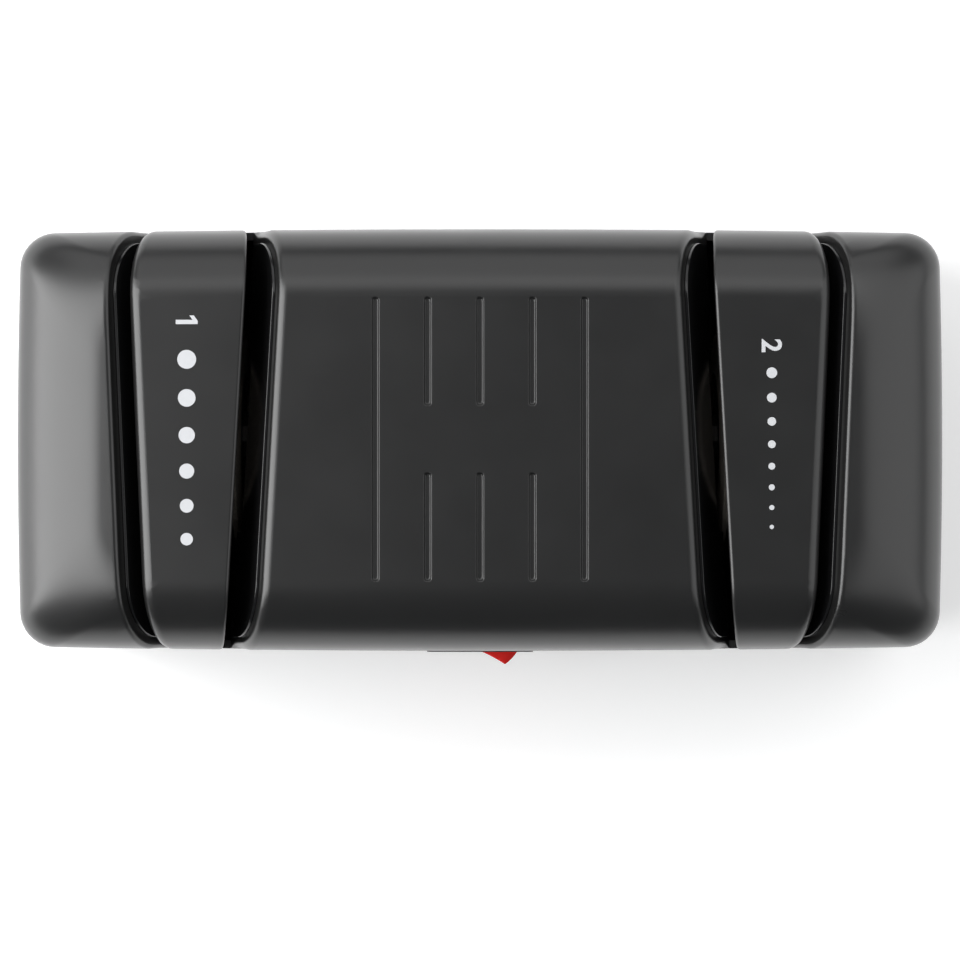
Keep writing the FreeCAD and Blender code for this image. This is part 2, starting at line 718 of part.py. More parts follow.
def rotor():
    mid = "shaft_height"
    pin_holes = []
    pins = []
    clips = []
    for side in STAGES.values():
        place = f"{side}*stage_centre"
        for out in (-1, 1):
            x = f"{place}+({out})*pin_place"
            pin_holes.append(hole("y", "pin_radius+seat", "-pin_half", "pin_half", x=x, z=mid, sides=SCREW_SIDES))
            pins.append(rod("y", "pin_radius", "-pin_half", "pin_half", x=x, z=mid, sides=SCREW_SIDES))
            near = "hub_out+clip_gap"
            far = f"{near}+clip_thickness"
            clips.append(tube(place, out, near, far, "clip_radius", "shaft_radius+seat", HUB_SIDES))
    bar = rod("x", "shaft_radius", "-shaft_half", "shaft_half", z=mid, sides=HUB_SIDES)
    part("rotor_shaft", cut(bar, *pin_holes))
    part("drive_pins", group(*pins))
    part("retaining_rings", group(*clips))
    core = tube("0", 1, "-stack_half", "stack_half", "bore_radius-air_gap", "shaft_radius+seat", DISC_SIDES)
    part("rotor_core", core)
    rings = []
    washers = []
    for side in (-1, 1):
        ends = ("stack_half", "stack_half+end_ring")
        rings.append(tube("0", side, *ends, "end_ring_radius", "end_ring_bore", ROUND_SIDES))
        ends = ("bush_in-bite-washer_thickness", "bush_in-bite")
        washers.append(tube("0", side, *ends, "washer_radius", "shaft_radius+seat", HUB_SIDES))
    part("rotor_end_rings", group(*rings))
    part("thrust_washers", group(*washers))
    hub = tube("fan_start", 1, "0", "fan_width", "fan_hub_radius", "shaft_radius+seat", HUB_SIDES)
    blades = []
    for count in range(int(S.fan_blades)):
        blade = Part.makeBox(S.fan_width - 2, S.fan_blade, S.fan_radius - S.fan_hub_radius + 1)
        blade.translate(Vector(-S.fan_width / 2 + 1, -S.fan_blade / 2, S.fan_hub_radius - 1))
        blade.rotate(Vector(), Vector(0, 0, 1), S.fan_pitch)
        blade.rotate(Vector(), Vector(1, 0, 0), 360 * count / S.fan_blades)
        blade.translate(Vector(S.fan_start + S.fan_width / 2, 0, S.shaft_height))
        blades.append(solid_from("Blade", blade))
    part("cooling_fan", join(hub, *blades))


def coned(place, out, radius, inner_radius, depth, thickness):
    """A plate whose outward face is a shallow cone, depth behind the grinding face, and whose back is flat."""
    slope = math.tan(math.radians(S.disc_cone))
    rings = []
    for at_radius, behind in ((radius, thickness), (radius, 0.0), (inner_radius, 0.0)):
        along = S.disc_face - depth - behind + (S.disc_radius - at_radius) * slope
        if behind:
            along = S.disc_face - depth - behind + (S.disc_radius - radius) * slope
        rings.append(circle(DISC_SIDES, at_radius, place + out * along, S.shaft_height))
    return skinned("Coned", rings)


def discs(stage, side):
    """Two coned discs that slide on the shaft and the spring that pushes them apart."""
    where = f"{side}*stage_centre"
    centre = side * S.stage_centre
    through = (f"{where}-stage_centre/2", f"{where}+stage_centre/2")
    for place, out in (("inner", -side), ("outer", side)):
        grit = coned(centre, out, S.disc_radius, S.grit_inner_radius, 0.0, S.grit_thickness)
        under = coned(centre, out, S.disc_radius, S.grit_inner_radius, S.grit_thickness, S.grit_thickness)
        bore = hole("x", "grit_inner_radius", *through, z="shaft_height", sides=DISC_SIDES)
        part(f"{stage}_{place}_abrasive", cut(grit, under, bore))
        plate = coned(centre, out, S.carrier_radius, S.hub_radius, S.grit_thickness, S.carrier_wall)
        ends = (f"{where}+({out})*hub_in", f"{where}+({out})*hub_out")
        hub = rod("x", "hub_radius", *(ends if out > 0 else ends[::-1]), z="shaft_height", sides=HUB_SIDES)
        bore = hole("x", "shaft_radius+slip", *through, z="shaft_height", sides=HUB_SIDES)
        ends = (
            f"{where}+({out})*(pin_place-pin_radius-bite)",
            f"{where}+({out})*(pin_place+pin_radius+disc_travel+bite)",
        )
        high = ("shaft_height-pin_radius-ease", "shaft_height+pin_radius+ease")
        slot = box(ends if out > 0 else ends[::-1], ("-hub_radius-overrun", "hub_radius+overrun"), high)
        part(f"{stage}_{place}_disc", cut(join(plate, hub), bore, slot))
    part(f"{stage}_spring", coil(centre))


def coil(place):
    """A compression spring of square wire, as straight runs from one turned section to the next."""
    steps = 10
    length = 2 * S.hub_in - S.spring_wire - S.bite
    half = S.spring_wire / 2
    rings = []
    for step in range(int(S.spring_turns * steps) + 1):
        turn = Rotation(Vector(1, 0, 0), 360 * step / steps)
        along = place + (step / (S.spring_turns * steps) - 0.5) * length
        square = [Vector(a * half, S.spring_radius + b * half, 0) for a, b in ((1, 1), (-1, 1), (-1, -1), (1, -1))]
        rings.append([turn.multVec(corner) + Vector(along, 0, S.shaft_height) for corner in square])
    return skinned("Coil", rings)


def rocker_switch():
    z = "switch_height"
    plate = doc.addObject("Part::Fillet", "Bezel")
    tall = (f"{z}-bezel_half_height", f"{z}+bezel_half_height")
    plate.Base = box(("-bezel_half", "bezel_half"), ("bezel_front", "rocker_pivot"), tall)
    doc.recompute()
    along = [
        i
        for i, edge in enumerate(plate.Base.Shape.Edges, start=1)
        if abs(edge.Vertexes[0].Y - edge.Vertexes[-1].Y) > 1
    ]
    plate.Edges = [(i, S.bezel_corner, S.bezel_corner) for i in along]
    frame = cut(plate, outer_form)
    tall = (f"{z}-switch_half_height", f"{z}+switch_half_height")
    body = box(("-switch_half", "switch_half"), ("bezel_front+overrun/2", "switch_back"), tall)
    inside = (f"{z}-rocker_half_height-rocker_gap", f"{z}+rocker_half_height+rocker_gap")
    room = hole("z", "rocker_radius+rocker_gap", *inside, y="rocker_pivot", sides=2 * DISC_SIDES)
    reach = "(rocker_half_height+trunnion_reach)"
    ends = (f"{z}-{reach}-bite", f"{z}+{reach}+bite")
    pivots = hole("z", "trunnion_radius+slip", *ends, y="rocker_pivot", sides=HUB_SIDES)
    part("switch_body", cut(join(frame, body), room, pivots))
    blades = []
    for x in ("terminal_x", "-terminal_x"):
        width = (f"{x}-terminal_thickness/2", f"{x}+terminal_thickness/2")
        tall = (f"{z}-terminal_half", f"{z}+terminal_half")
        blades.append(box(width, ("switch_back", "switch_back+terminal_length"), tall))
    part("switch_terminals", group(*blades))
    wedge_points = [
        ("0", "-rocker_rise"),
        ("rocker_radius*sin(rocker_tip)", "-rocker_radius*cos(rocker_tip)"),
        ("rocker_radius*2*sin(rocker_tip)", "-rocker_radius*2*cos(rocker_tip)"),
        ("rocker_radius*2", "-rocker_radius*2*cos(rocker_end)"),
        ("rocker_radius*sin(rocker_end)", "-rocker_radius*cos(rocker_end)"),
        ("rocker_root", "rocker_root*1.5"),
    ]
    mirrored = [(f"-({x})", y) for x, y in reversed(wedge_points[1:])]
    whole = slab("xy", wedge_points + mirrored, "-rocker_half_height", "rocker_half_height")
    drum = rod("z", "rocker_radius", "-rocker_half_height", "rocker_half_height", sides=0)
    pins = rod("z", "trunnion_radius", f"-{reach}", reach, sides=HUB_SIDES)
    paddle = join(common(whole, drum), pins)
    turned = doc.addObject("Part::Compound", "Turned")
    turned.Links = [paddle]
    turned.Placement = Placement(Vector(), Rotation(Vector(0, 0, 1), -S.rocker_half_angle))
    bind(turned, y="rocker_pivot", z="switch_height")
    part("rocker_paddle", turned)


def lead_inlet():
    place = {"x": "inlet_x", "z": "inlet_height"}
    front = "side_wall+inlet_bow+inlet_proud"
    flange = cut(rod("y", "inlet_flange", "side_wall-overrun", front, **place), outer_form)
    barrel = rod("y", "inlet_radius", "side_wall-shell_wall-inlet_inside", front, **place)
    bore = hole("y", "inlet_bore", "flat_half_depth", f"{front}+overrun", **place)
    part("cord_grommet", cut(join(flange, barrel), bore))


upper_shell()
for stage, side in STAGES.items():
    bridge(stage, side)
    guides(stage, side)
    discs(stage, side)
base_plate()
base_hardware()
motor()
rotor()
rocker_switch()
lead_inlet()

doc.recompute()
failed = [thing.Name for thing in doc.Objects if "Invalid" in thing.State or "Error" in thing.State]
if failed:
    raise SystemExit(f"failed objects: {failed}")
os.makedirs("parts", exist_ok=True)
for thing in nodes:
    shape = thing.Shape
    if shape.isNull() or not shape.isValid() or not shape.Solids:
        raise SystemExit(f"{thing.Label} has no sound solid")
    shape.exportStep(f"parts/{thing.Label}.step")
    print(f"{thing.Label}: {len(shape.Solids)} solids, {shape.Volume:.0f} mm3")
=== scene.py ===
# %% [markdown]
# # An electric knife sharpener, seen from above
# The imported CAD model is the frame: every solid of the sharpener already lies in its place, in
# metres. Blender adds what the CAD leaves plain, which is the soft moulded skin, the finishes and
# the light.

# %% Load the frame
import math

import bmesh
import bpy
from mathutils import Matrix, Vector


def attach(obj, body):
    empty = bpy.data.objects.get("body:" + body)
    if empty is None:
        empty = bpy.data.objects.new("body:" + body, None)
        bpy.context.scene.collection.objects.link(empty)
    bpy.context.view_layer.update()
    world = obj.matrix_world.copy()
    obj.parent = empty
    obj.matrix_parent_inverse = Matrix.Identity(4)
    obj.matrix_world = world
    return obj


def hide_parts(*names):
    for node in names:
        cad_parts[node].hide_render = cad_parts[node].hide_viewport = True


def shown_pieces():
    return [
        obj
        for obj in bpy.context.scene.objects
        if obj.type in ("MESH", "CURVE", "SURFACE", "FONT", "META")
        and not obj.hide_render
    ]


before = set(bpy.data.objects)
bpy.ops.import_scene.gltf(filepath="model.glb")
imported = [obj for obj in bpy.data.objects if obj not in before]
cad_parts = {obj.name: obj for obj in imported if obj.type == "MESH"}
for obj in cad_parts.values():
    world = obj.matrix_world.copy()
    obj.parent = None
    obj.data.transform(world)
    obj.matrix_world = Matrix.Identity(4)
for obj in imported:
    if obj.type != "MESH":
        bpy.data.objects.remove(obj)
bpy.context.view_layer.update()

# %% [markdown]
# ## The moulded form
# The housing is one injection moulding: a flat top whose edges roll over into walls with a little
# draft. Across the depth the roll is a quarter circle. Along the length it is two arcs that touch
# each other, so it starts gently and turns faster lower down. A subdivided box could come near
# this, but stacked outlines follow it exactly and leave rows of points along which the slots can be
# cut later. Sizes here are in millimetres, and each mesh is scaled to metres when it is finished.

# %% Sizes of the form
TOP = 90.0
SHOULDER = 73.0
RIM = 4.0
SLOT_FLOOR = 65.0
FLAT_LENGTH = 88.0
FLAT_DEPTH = 33.2
SIDE_ROLL = 17.0
END_ROLL_TOP = 24.268
END_ROLL_LOW = 11.0
END_ROLL_MEETS = math.radians(33.22)
DRAFT = math.tan(math.radians(1.5))
SIDE_CROWN = 6100.0
END_CROWN = 1500.0
WALL_LEVELS = (4.0, 5.0, 12.0, 21.5, 34.5, 48.0, 60.0, 65.0, 65.7, 66.5, 67.5, 69.0, 71.0)
ROLL_STEPS = 30
NEAR = 0.001
ON_PLANE = 1e-5


def ramp(value, start, reach):
    """How far a value has come along a span, from 0 to 1."""
    return min(max((value - start) / reach, 0.0), 1.0)


def ease(share):
    """The same share with a soft start and a soft end."""
    return share * share * (3 - 2 * share)


def side_reach(height):
    """Half the depth of the form at a height."""
    if height <= SHOULDER:
        return FLAT_DEPTH + SIDE_ROLL + (SHOULDER - height) * DRAFT
    return FLAT_DEPTH + math.sqrt(max(SIDE_ROLL**2 - (height - SHOULDER) ** 2, 0.0))


def end_reach(height):
    """Half the length of the form at a height."""
    low_centre = FLAT_LENGTH + (END_ROLL_TOP - END_ROLL_LOW) * math.cos(END_ROLL_MEETS)
    if height <= SHOULDER:
        return low_centre + END_ROLL_LOW + (SHOULDER - height) * DRAFT
    if height <= SHOULDER + END_ROLL_LOW * math.sin(END_ROLL_MEETS):
        return low_centre + math.sqrt(END_ROLL_LOW**2 - (height - SHOULDER) ** 2)
    return FLAT_LENGTH + math.sqrt(max(END_ROLL_TOP**2 - (height - TOP + END_ROLL_TOP) ** 2, 0.0))


at_shoulder = [round(reach(SHOULDER), 1) for reach in (end_reach, side_reach)]
print("half length and depth at the shoulder:", at_shoulder)

# %% [markdown]
# ## One outline, stacked
# Each level is a rounded rectangle. A real moulding is never quite straight: its long sides bow
# outwards by under a millimetre, which is what keeps their reflections from looking dead. Bending
# every outline by a very large circle gives that bow for nothing. The top is crowned a little
# towards each end, so the end caps catch the side light. The flat top has no points inside it, so
# it is first sliced where the crown begins.

# %% Stack the outlines into a skin
SIDE_PIECES = 26
CAP_START = 81.0
CAP_REACH = 22.0
CAP_DROP = 1.5
CAP_SLICES = (81.0, 82.0, 83.0, 84.0, 85.0, 86.0, 87.0)
END_PIECES = 12
CORNER_PIECES = 9
CORNER_LOW = 8.0
CORNER_GROWTH = 6.0


def plan(height):
    """Points round the form at a height, anticlockwise from the right end of the front."""
    length, depth = end_reach(height), side_reach(height)
    lift = max(height - SHOULDER, 0.0) / (TOP - SHOULDER)
    corner = CORNER_LOW + CORNER_GROWTH * lift**2
    a, b = length - corner, depth - corner
    points = []
    quarter = [math.pi / 2 * i / CORNER_PIECES for i in range(CORNER_PIECES + 1)]
    for turn, (cx, cy) in enumerate(((a, -b), (a, b), (-a, b), (-a, -b))):
        start = (turn - 1) * math.pi / 2
        points += [(cx + corner * math.cos(start + q), cy + corner * math.sin(start + q)) for q in quarter]
        count = (END_PIECES, SIDE_PIECES)[turn % 2]
        (x0, y0), (nx, ny) = points[-1], ((a, b), (-a, b), (-a, -b), (a, -b))[turn]
        end = (x0, ny) if turn % 2 == 0 else (nx, y0)
        for i in range(1, count):
            points.append((x0 + (end[0] - x0) * i / count, y0 + (end[1] - y0) * i / count))
    bowed = []
    for x, y in points:
        end_bow = y * y / (2 * END_CROWN)
        side_bow = x * x / (2 * SIDE_CROWN)
        bowed.append((x - math.copysign(end_bow, x), y - math.copysign(side_bow, y)))
    return bowed


def slice_skin(skin, normal, distance, wanted):
    """Split the wanted faces along a plane."""
    faces = []
    for face in skin.faces:
        past = [normal.dot(v.co) + distance for v in face.verts]
        if min(past) < -ON_PLANE and max(past) > ON_PLANE and wanted(face.calc_center_median()):
            faces.append(face)
    parts = set(faces)
    for face in faces:
        parts.update(face.edges)
        parts.update(face.verts)
    spot = normal * -distance
    bmesh.ops.bisect_plane(skin, geom=list(parts), dist=ON_PLANE, plane_co=spot, plane_no=normal)


def moulded_skin(lowest):
    """The outside of the form from a level up, closed at the top."""
    heights = [z for z in WALL_LEVELS if z >= lowest]
    rolls = [math.pi / 2 * i / ROLL_STEPS for i in range(ROLL_STEPS + 1)]
    heights += [SHOULDER + SIDE_ROLL * math.sin(roll) for roll in rolls]
    skin = bmesh.new()
    rings = [[skin.verts.new((x, y, z)) for x, y in plan(z)] for z in heights]
    for low, high in zip(rings, rings[1:]):
        for i in range(len(low)):
            j = (i + 1) % len(low)
            skin.faces.new((low[i], low[j], high[j], high[i]))
    skin.faces.new(rings[-1])
    for side in (-1, 1):
        for place in CAP_SLICES:
            slice_skin(skin, Vector((side, 0, 0)), -place, lambda centre: centre.z > TOP - NEAR)
    for point in skin.verts:
        lift = max(point.co.z - SLOT_FLOOR, 0.0) / (TOP - SLOT_FLOOR)
        point.co.z -= CAP_DROP * ease(ramp(abs(point.co.x), CAP_START, CAP_REACH)) * lift
    return skin


print("points in one outline:", len(plan(SHOULDER)))

# %% [markdown]
# ## The slots
# Four slots cross the top. Each one has a wall that leans by the sharpening angle, and the slots
# toe in slightly towards the front. Cutting with a boolean would leave ragged edges that are hard
# to round, so the skin is sliced along planes instead: one slice on the wall itself, and more of
# them beside it. The slices give the points that the rounding needs.

# %% Planes of the slot walls
TOE_IN = math.tan(math.radians(3.2))
TOE_OUT = math.tan(math.radians(2.45))
SLOT_SLANT = math.tan(math.radians(19.5))
BRIDGE_INNER_SLANT = math.tan(math.radians(7.4))
BRIDGE_OUTER_SLANT = math.tan(math.radians(11.0))
SHELL_INNER = 48.5
SHELL_OUTER = 85.4
BRIDGE_INNER = 56.35
BRIDGE_OUTER = 80.55
STAGES = {"coarse": -1, "fine": 1}


def wall_plane(across, toe, slant, place):
    """A plane as a unit normal that points into the slot, and a distance."""
    slope = Vector((across, toe, slant))
    return slope.normalized(), (place - TOP * slant) / slope.length


def shell_planes(side):
    """The two walls of the housing that face a stage, the inner one first."""
    inner = wall_plane(side, TOE_IN, SLOT_SLANT, -SHELL_INNER)
    return [inner, wall_plane(-side, TOE_OUT, SLOT_SLANT, SHELL_OUTER)]


def bridge_planes(side):
    """The two walls of a bridge, the inner one first."""
    inner = wall_plane(-side, -TOE_IN, -BRIDGE_INNER_SLANT, BRIDGE_INNER)
    return [inner, wall_plane(side, -TOE_OUT, -BRIDGE_OUTER_SLANT, -BRIDGE_OUTER)]


def beyond(plane, point):
    """How far a point lies past a wall, into the slot."""
    return plane[0].dot(point) + plane[1]


for name, side in STAGES.items():
    edge = Vector((side * SHELL_INNER, 0.0, TOP))
    print(name, "inner wall passes its edge at", round(beyond(shell_planes(side)[0], edge), 6))

# %% [markdown]
# ## Slicing and rounding
# The rounding is worked out and not left to a bevel: a point at some distance from the wall moves
# on to the arc that touches both the skin and the wall. So the edge keeps one radius over the flat
# top and round the roll, as the tool that cut the mould would leave it. Towards the bottom of a
# slot the radius fades out.

# %% Round and close a slot, and give the skin a wall
ROUND_SHARES = (0.0, 0.06, 0.14, 0.24, 0.36, 0.5, 0.667, 0.82, 1.0, 1.2)
ROUND_FADE = 4.0
ON_FLOOR = 1e-4
NO_RADIUS = 1e-6
RIM_CENTRE = 40.0
NOTCH_HALF = 22.0
THIN_ABOVE = 62.0
GLOSS_INDEX = 1
MILLIMETRE = 0.001
SHARP_ANGLE = math.radians(38)


def round_edges(skin, edges):
    """Move the points near each wall on to an arc that touches the skin and the wall."""
    skin.normal_update()
    moves = []
    for point in skin.verts:
        if point.co.z < SLOT_FLOOR - ON_FLOOR:
            continue
        share = ramp(point.co.z, SLOT_FLOOR, ROUND_FADE)
        for (wall, distance), radius in edges:
            local = radius * ease(share)
            depth = -(wall.dot(point.co) + distance)
            out = point.normal
            turn = math.acos(max(-1.0, min(1.0, out.dot(wall))))
            full = local * math.tan(turn / 2) * math.sin(turn)
            if full < NO_RADIUS or not -NEAR < depth < full:
                continue
            angle = turn * (1 - max(depth, 0.0) / full)
            along = (out * out.dot(wall) - wall).normalized()
            step = local * (math.tan(turn / 2) - math.sin(angle)) - depth / math.sin(turn)
            moves.append((point, along * step - out * local * (1 - math.cos(angle))))
    for point, move in moves:
        point.co += move
    return len(moves)


def close_wall(skin, rim, plane, notch_top):
    """Fill a slot wall from its rim down to the slot's floor, round a notch where the disc runs."""
    (nx, ny, nz), distance = plane
    half = NOTCH_HALF
    notch = ((-half, SLOT_FLOOR), (-half, notch_top), (half, notch_top), (half, SLOT_FLOOR))
    corners = []
    for y, z in notch:
        corners.append(skin.verts.new((-(ny * y + nz * z + distance) / nx, y, z)))
    skin.faces.new(rim + corners).material_index = GLOSS_INDEX


def rim_of(skin, plane):
    """The points along the open edge of the skin at a wall, in their order from back to front."""
    found = []
    for point in skin.verts:
        if abs(beyond(plane, point.co)) < NEAR and point.co.z > SLOT_FLOOR - NEAR and point.is_boundary:
            found.append(point)
    return sorted(found, key=lambda point: -math.atan2(point.co.y, point.co.z - RIM_CENTRE))


def thicken(skin, wall, low_wall=None):
    """Give an open skin a wall: its faces again further in, and a rim along every open edge.

    Below the slots the wall may be thicker.
    """
    bmesh.ops.recalc_face_normals(skin, faces=skin.faces)
    skin.normal_update()
    inside = {}
    for point in skin.verts[:]:
        depth = wall if low_wall is None or point.co.z > THIN_ABOVE else low_wall
        inside[point] = skin.verts.new(point.co - point.normal * depth)
    outside = skin.faces[:]
    rim = [(edge, edge.link_loops[0]) for edge in skin.edges if edge.is_boundary]
    for edge, loop in rim:
        a, b = loop.vert, loop.link_loop_next.vert
        skin.faces.new((b, a, inside[a], inside[b]))
    for face in outside:
        twin = skin.faces.new([inside[point] for point in reversed(face.verts)])
        twin.material_index = face.material_index


def add_piece(name, form, body="housing", stands_for=(), flat_faces=False):
    """Turn a bmesh in millimetres into a smooth piece in metres that rides on a body."""
    bmesh.ops.recalc_face_normals(form, faces=form.faces)
    form.transform(Matrix.Scale(MILLIMETRE, 4))
    mesh = bpy.data.meshes.new(name)
    form.to_mesh(mesh)
    form.free()
    mesh.shade_smooth()
    mesh.set_sharp_from_angle(angle=SHARP_ANGLE)
    piece = bpy.data.objects.new(name, mesh)
    bpy.context.scene.collection.objects.link(piece)
    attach(piece, body)
    if flat_faces:
        weigh = piece.modifiers.new("keep_flats_flat", "WEIGHTED_NORMAL")
        weigh.keep_sharp = True
        weigh.weight = 100
    if stands_for:
        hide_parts(*stands_for)
    return piece


print("slices beside each wall:", len(ROUND_SHARES))

# %% [markdown]
# ## Turned shapes
# Posts, feet, screws and the grommet are all turned round an axis. A spin of a profile gives them
# in one step, and the profile reads like a drawing: pairs of radius and height.

# %% A helper for turned shapes
TURNED_SIDES = 40
UPRIGHT = Matrix.Identity(3)
TO_BACK = Matrix(((1, 0, 0), (0, 0, 1), (0, -1, 0)))


def turned(target, profile, place, axes=UPRIGHT, sides=TURNED_SIDES):
    """Spin a profile of (radius, height) round an axis through a place. A radius of 0 closes the end."""
    rings = []
    for radius, height in profile:
        spots = [0.0] if radius == 0 else [2 * math.pi * i / sides for i in range(sides)]
        points = [Vector((radius * math.cos(t), radius * math.sin(t), height)) for t in spots]
        rings.append([target.verts.new(axes @ p + Vector(place)) for p in points])
    for low, high in zip(rings, rings[1:]):
        for i in range(sides):
            j = (i + 1) % sides
            corners = []
            for ring, k in ((low, i), (low, j), (high, j), (high, i)):
                point = ring[k if len(ring) > 1 else 0]
                if point not in corners:
                    corners.append(point)
            target.faces.new(corners)


print("sides of a turned shape unless told otherwise:", TURNED_SIDES)

# %% [markdown]
# ## The housing
# The skin is sliced, the part over each stage is taken out down to the slot's floor, and the edges
# are rounded. Five shallow finger grooves are pressed into the flat top, three of them broken in
# the middle. Their ends are round, so each groove's depth follows the distance to a short centre
# line. Then the skin gets its wall thickness.

# %% Cut the slots out of the housing's skin
SHELL_EDGES = (2.2, 1.1)
shell = moulded_skin(RIM)


def above_floor(centre):
    """Whether a face lies higher than the slot's floor."""
    return centre.z > SLOT_FLOOR


for side in STAGES.values():
    for plane, radius in zip(shell_planes(side), SHELL_EDGES):
        for share in ROUND_SHARES:
            slice_skin(shell, plane[0], plane[1] + share * radius, above_floor)
taken = []
for face in shell.faces:
    centre = face.calc_center_median()
    inside_slots = any(all(beyond(p, centre) > 0 for p in shell_planes(s)) for s in STAGES.values())
    if above_floor(centre) and inside_slots:
        taken.append(face)
bmesh.ops.delete(shell, geom=taken, context="FACES")
print("faces taken out for the slots:", len(taken), "left:", len(shell.faces))

# %% Press the grip grooves
GROOVE_PITCH = 12.15
GROOVE_END = 33.0
GROOVE_BREAK = 7.8
GROOVE_HALF = 0.85
GROOVE_DEPTH = 0.55
GROOVE_RIM = 1.0
GROOVE_SLOPE = 0.5
TOP_HALF = 45.0
LIP_STEPS = (0.0, 0.3, 0.5, 0.62, 0.74, 0.86, 1.0)
END_STEPS = (-0.15, 0.0, 0.11, 0.24, 0.36, 0.55, 0.85, 1.3)
GROOVES = {count: [(-GROOVE_END, GROOVE_END)] for count in (-2, 2)}
for count in (-1, 0, 1):
    GROOVES[count] = [(-GROOVE_END, -GROOVE_BREAK), (GROOVE_BREAK, GROOVE_END)]


def on_flat_top(centre):
    """Whether a place lies on the flat top between the slots."""
    return centre.z > TOP - NEAR and abs(centre.x) < TOP_HALF


for count in GROOVES:
    for step in sorted(set(LIP_STEPS) | {-s for s in LIP_STEPS}):
        slice_skin(shell, Vector((1, 0, 0)), -(count * GROOVE_PITCH + step), on_flat_top)
for end, inwards in ((-GROOVE_END, -1), (-GROOVE_BREAK, 1), (GROOVE_BREAK, -1), (GROOVE_END, 1)):
    for step in END_STEPS:
        slice_skin(shell, Vector((0, 1, 0)), -(end - inwards * step), on_flat_top)


def groove_depth(x, y):
    """Depth of the grooves at a place on the top."""
    deepest = 0.0
    for count, spans in GROOVES.items():
        for low, high in spans:
            near = min(max(y, low + GROOVE_HALF), high - GROOVE_HALF)
            away = math.hypot(x - count * GROOVE_PITCH, y - near)
            share = min(max((GROOVE_RIM - away) / GROOVE_SLOPE, 0.0), 1.0)
            deepest = max(deepest, GROOVE_DEPTH * ease(share))
    return deepest


rims = [(plane, rim_of(shell, plane)) for side in STAGES.values() for plane in shell_planes(side)]
radii = SHELL_EDGES * len(STAGES)
rounded = round_edges(shell, [(plane, radius) for (plane, rim), radius in zip(rims, radii)])
for point in shell.verts:
    if on_flat_top(point.co):
        point.co.z -= groove_depth(point.co.x, point.co.y)
print("points on rounded slot edges:", rounded, "faces with the grooves:", len(shell.faces))

# %% Close the slot walls, open the switch and inlet holes, and thicken the skin
WALL = 2.0
LOW_WALL = 2.75
SHELL_NOTCH_TOP = 71.5
SWITCH_HOLE = (0.0, 12.4, 28.0, 6.5, -1)
INLET_HOLE = (-30.0, 5.2, 20.0, 5.2, 1)
HOLE_WALL_BEYOND = 40
HOLE_WALL_BELOW = 60
SCREW_PLACES = [(x, y, 0) for x in (-97.0, 97.0) for y in (-36.0, 36.0)]
SMALL_SIDES = 24
POST = ((0, 20.4), (1.4, 20.4), (1.4, 6.4), (4.5, 6.4), (4.5, 81.0), (0, 81.0))


def open_hole(skin, x, half_x, z, half_z, side):
    """Take a rectangle out of the front wall (side -1) or the back wall (side 1)."""

    def on_wall(centre):
        """Whether a face lies low on the wall that is opened."""
        return centre.y * side > HOLE_WALL_BEYOND and centre.z < HOLE_WALL_BELOW

    for step in (-half_x, half_x):
        slice_skin(skin, Vector((1, 0, 0)), -(x + step), on_wall)
    for step in (-half_z, half_z):
        slice_skin(skin, Vector((0, 0, 1)), -(z + step), on_wall)
    gone = []
    for face in skin.faces:
        centre = face.calc_center_median()
        if on_wall(centre) and abs(centre.x - x) < half_x and abs(centre.z - z) < half_z:
            gone.append(face)
    bmesh.ops.delete(skin, geom=gone, context="FACES")


for plane, rim in rims:
    close_wall(shell, rim, plane, SHELL_NOTCH_TOP)
for hole in (SWITCH_HOLE, INLET_HOLE):
    open_hole(shell, *hole)
thicken(shell, WALL, LOW_WALL)
for place in SCREW_PLACES:
    turned(shell, POST, place, sides=SMALL_SIDES)
housing = add_piece(
    "housing_skin", shell, stands_for=("upper_shell",), flat_faces=True)
print("housing faces:", len(housing.data.polygons))

# %% [markdown]
# ## The bridges
# A bridge is the saddle between the two slots of a stage. It covers the discs, and its sides lean
# in below. It is cut from the same form as the housing, so its top and rolls line up. Its inner
# edge is crisp and its outer one is soft.

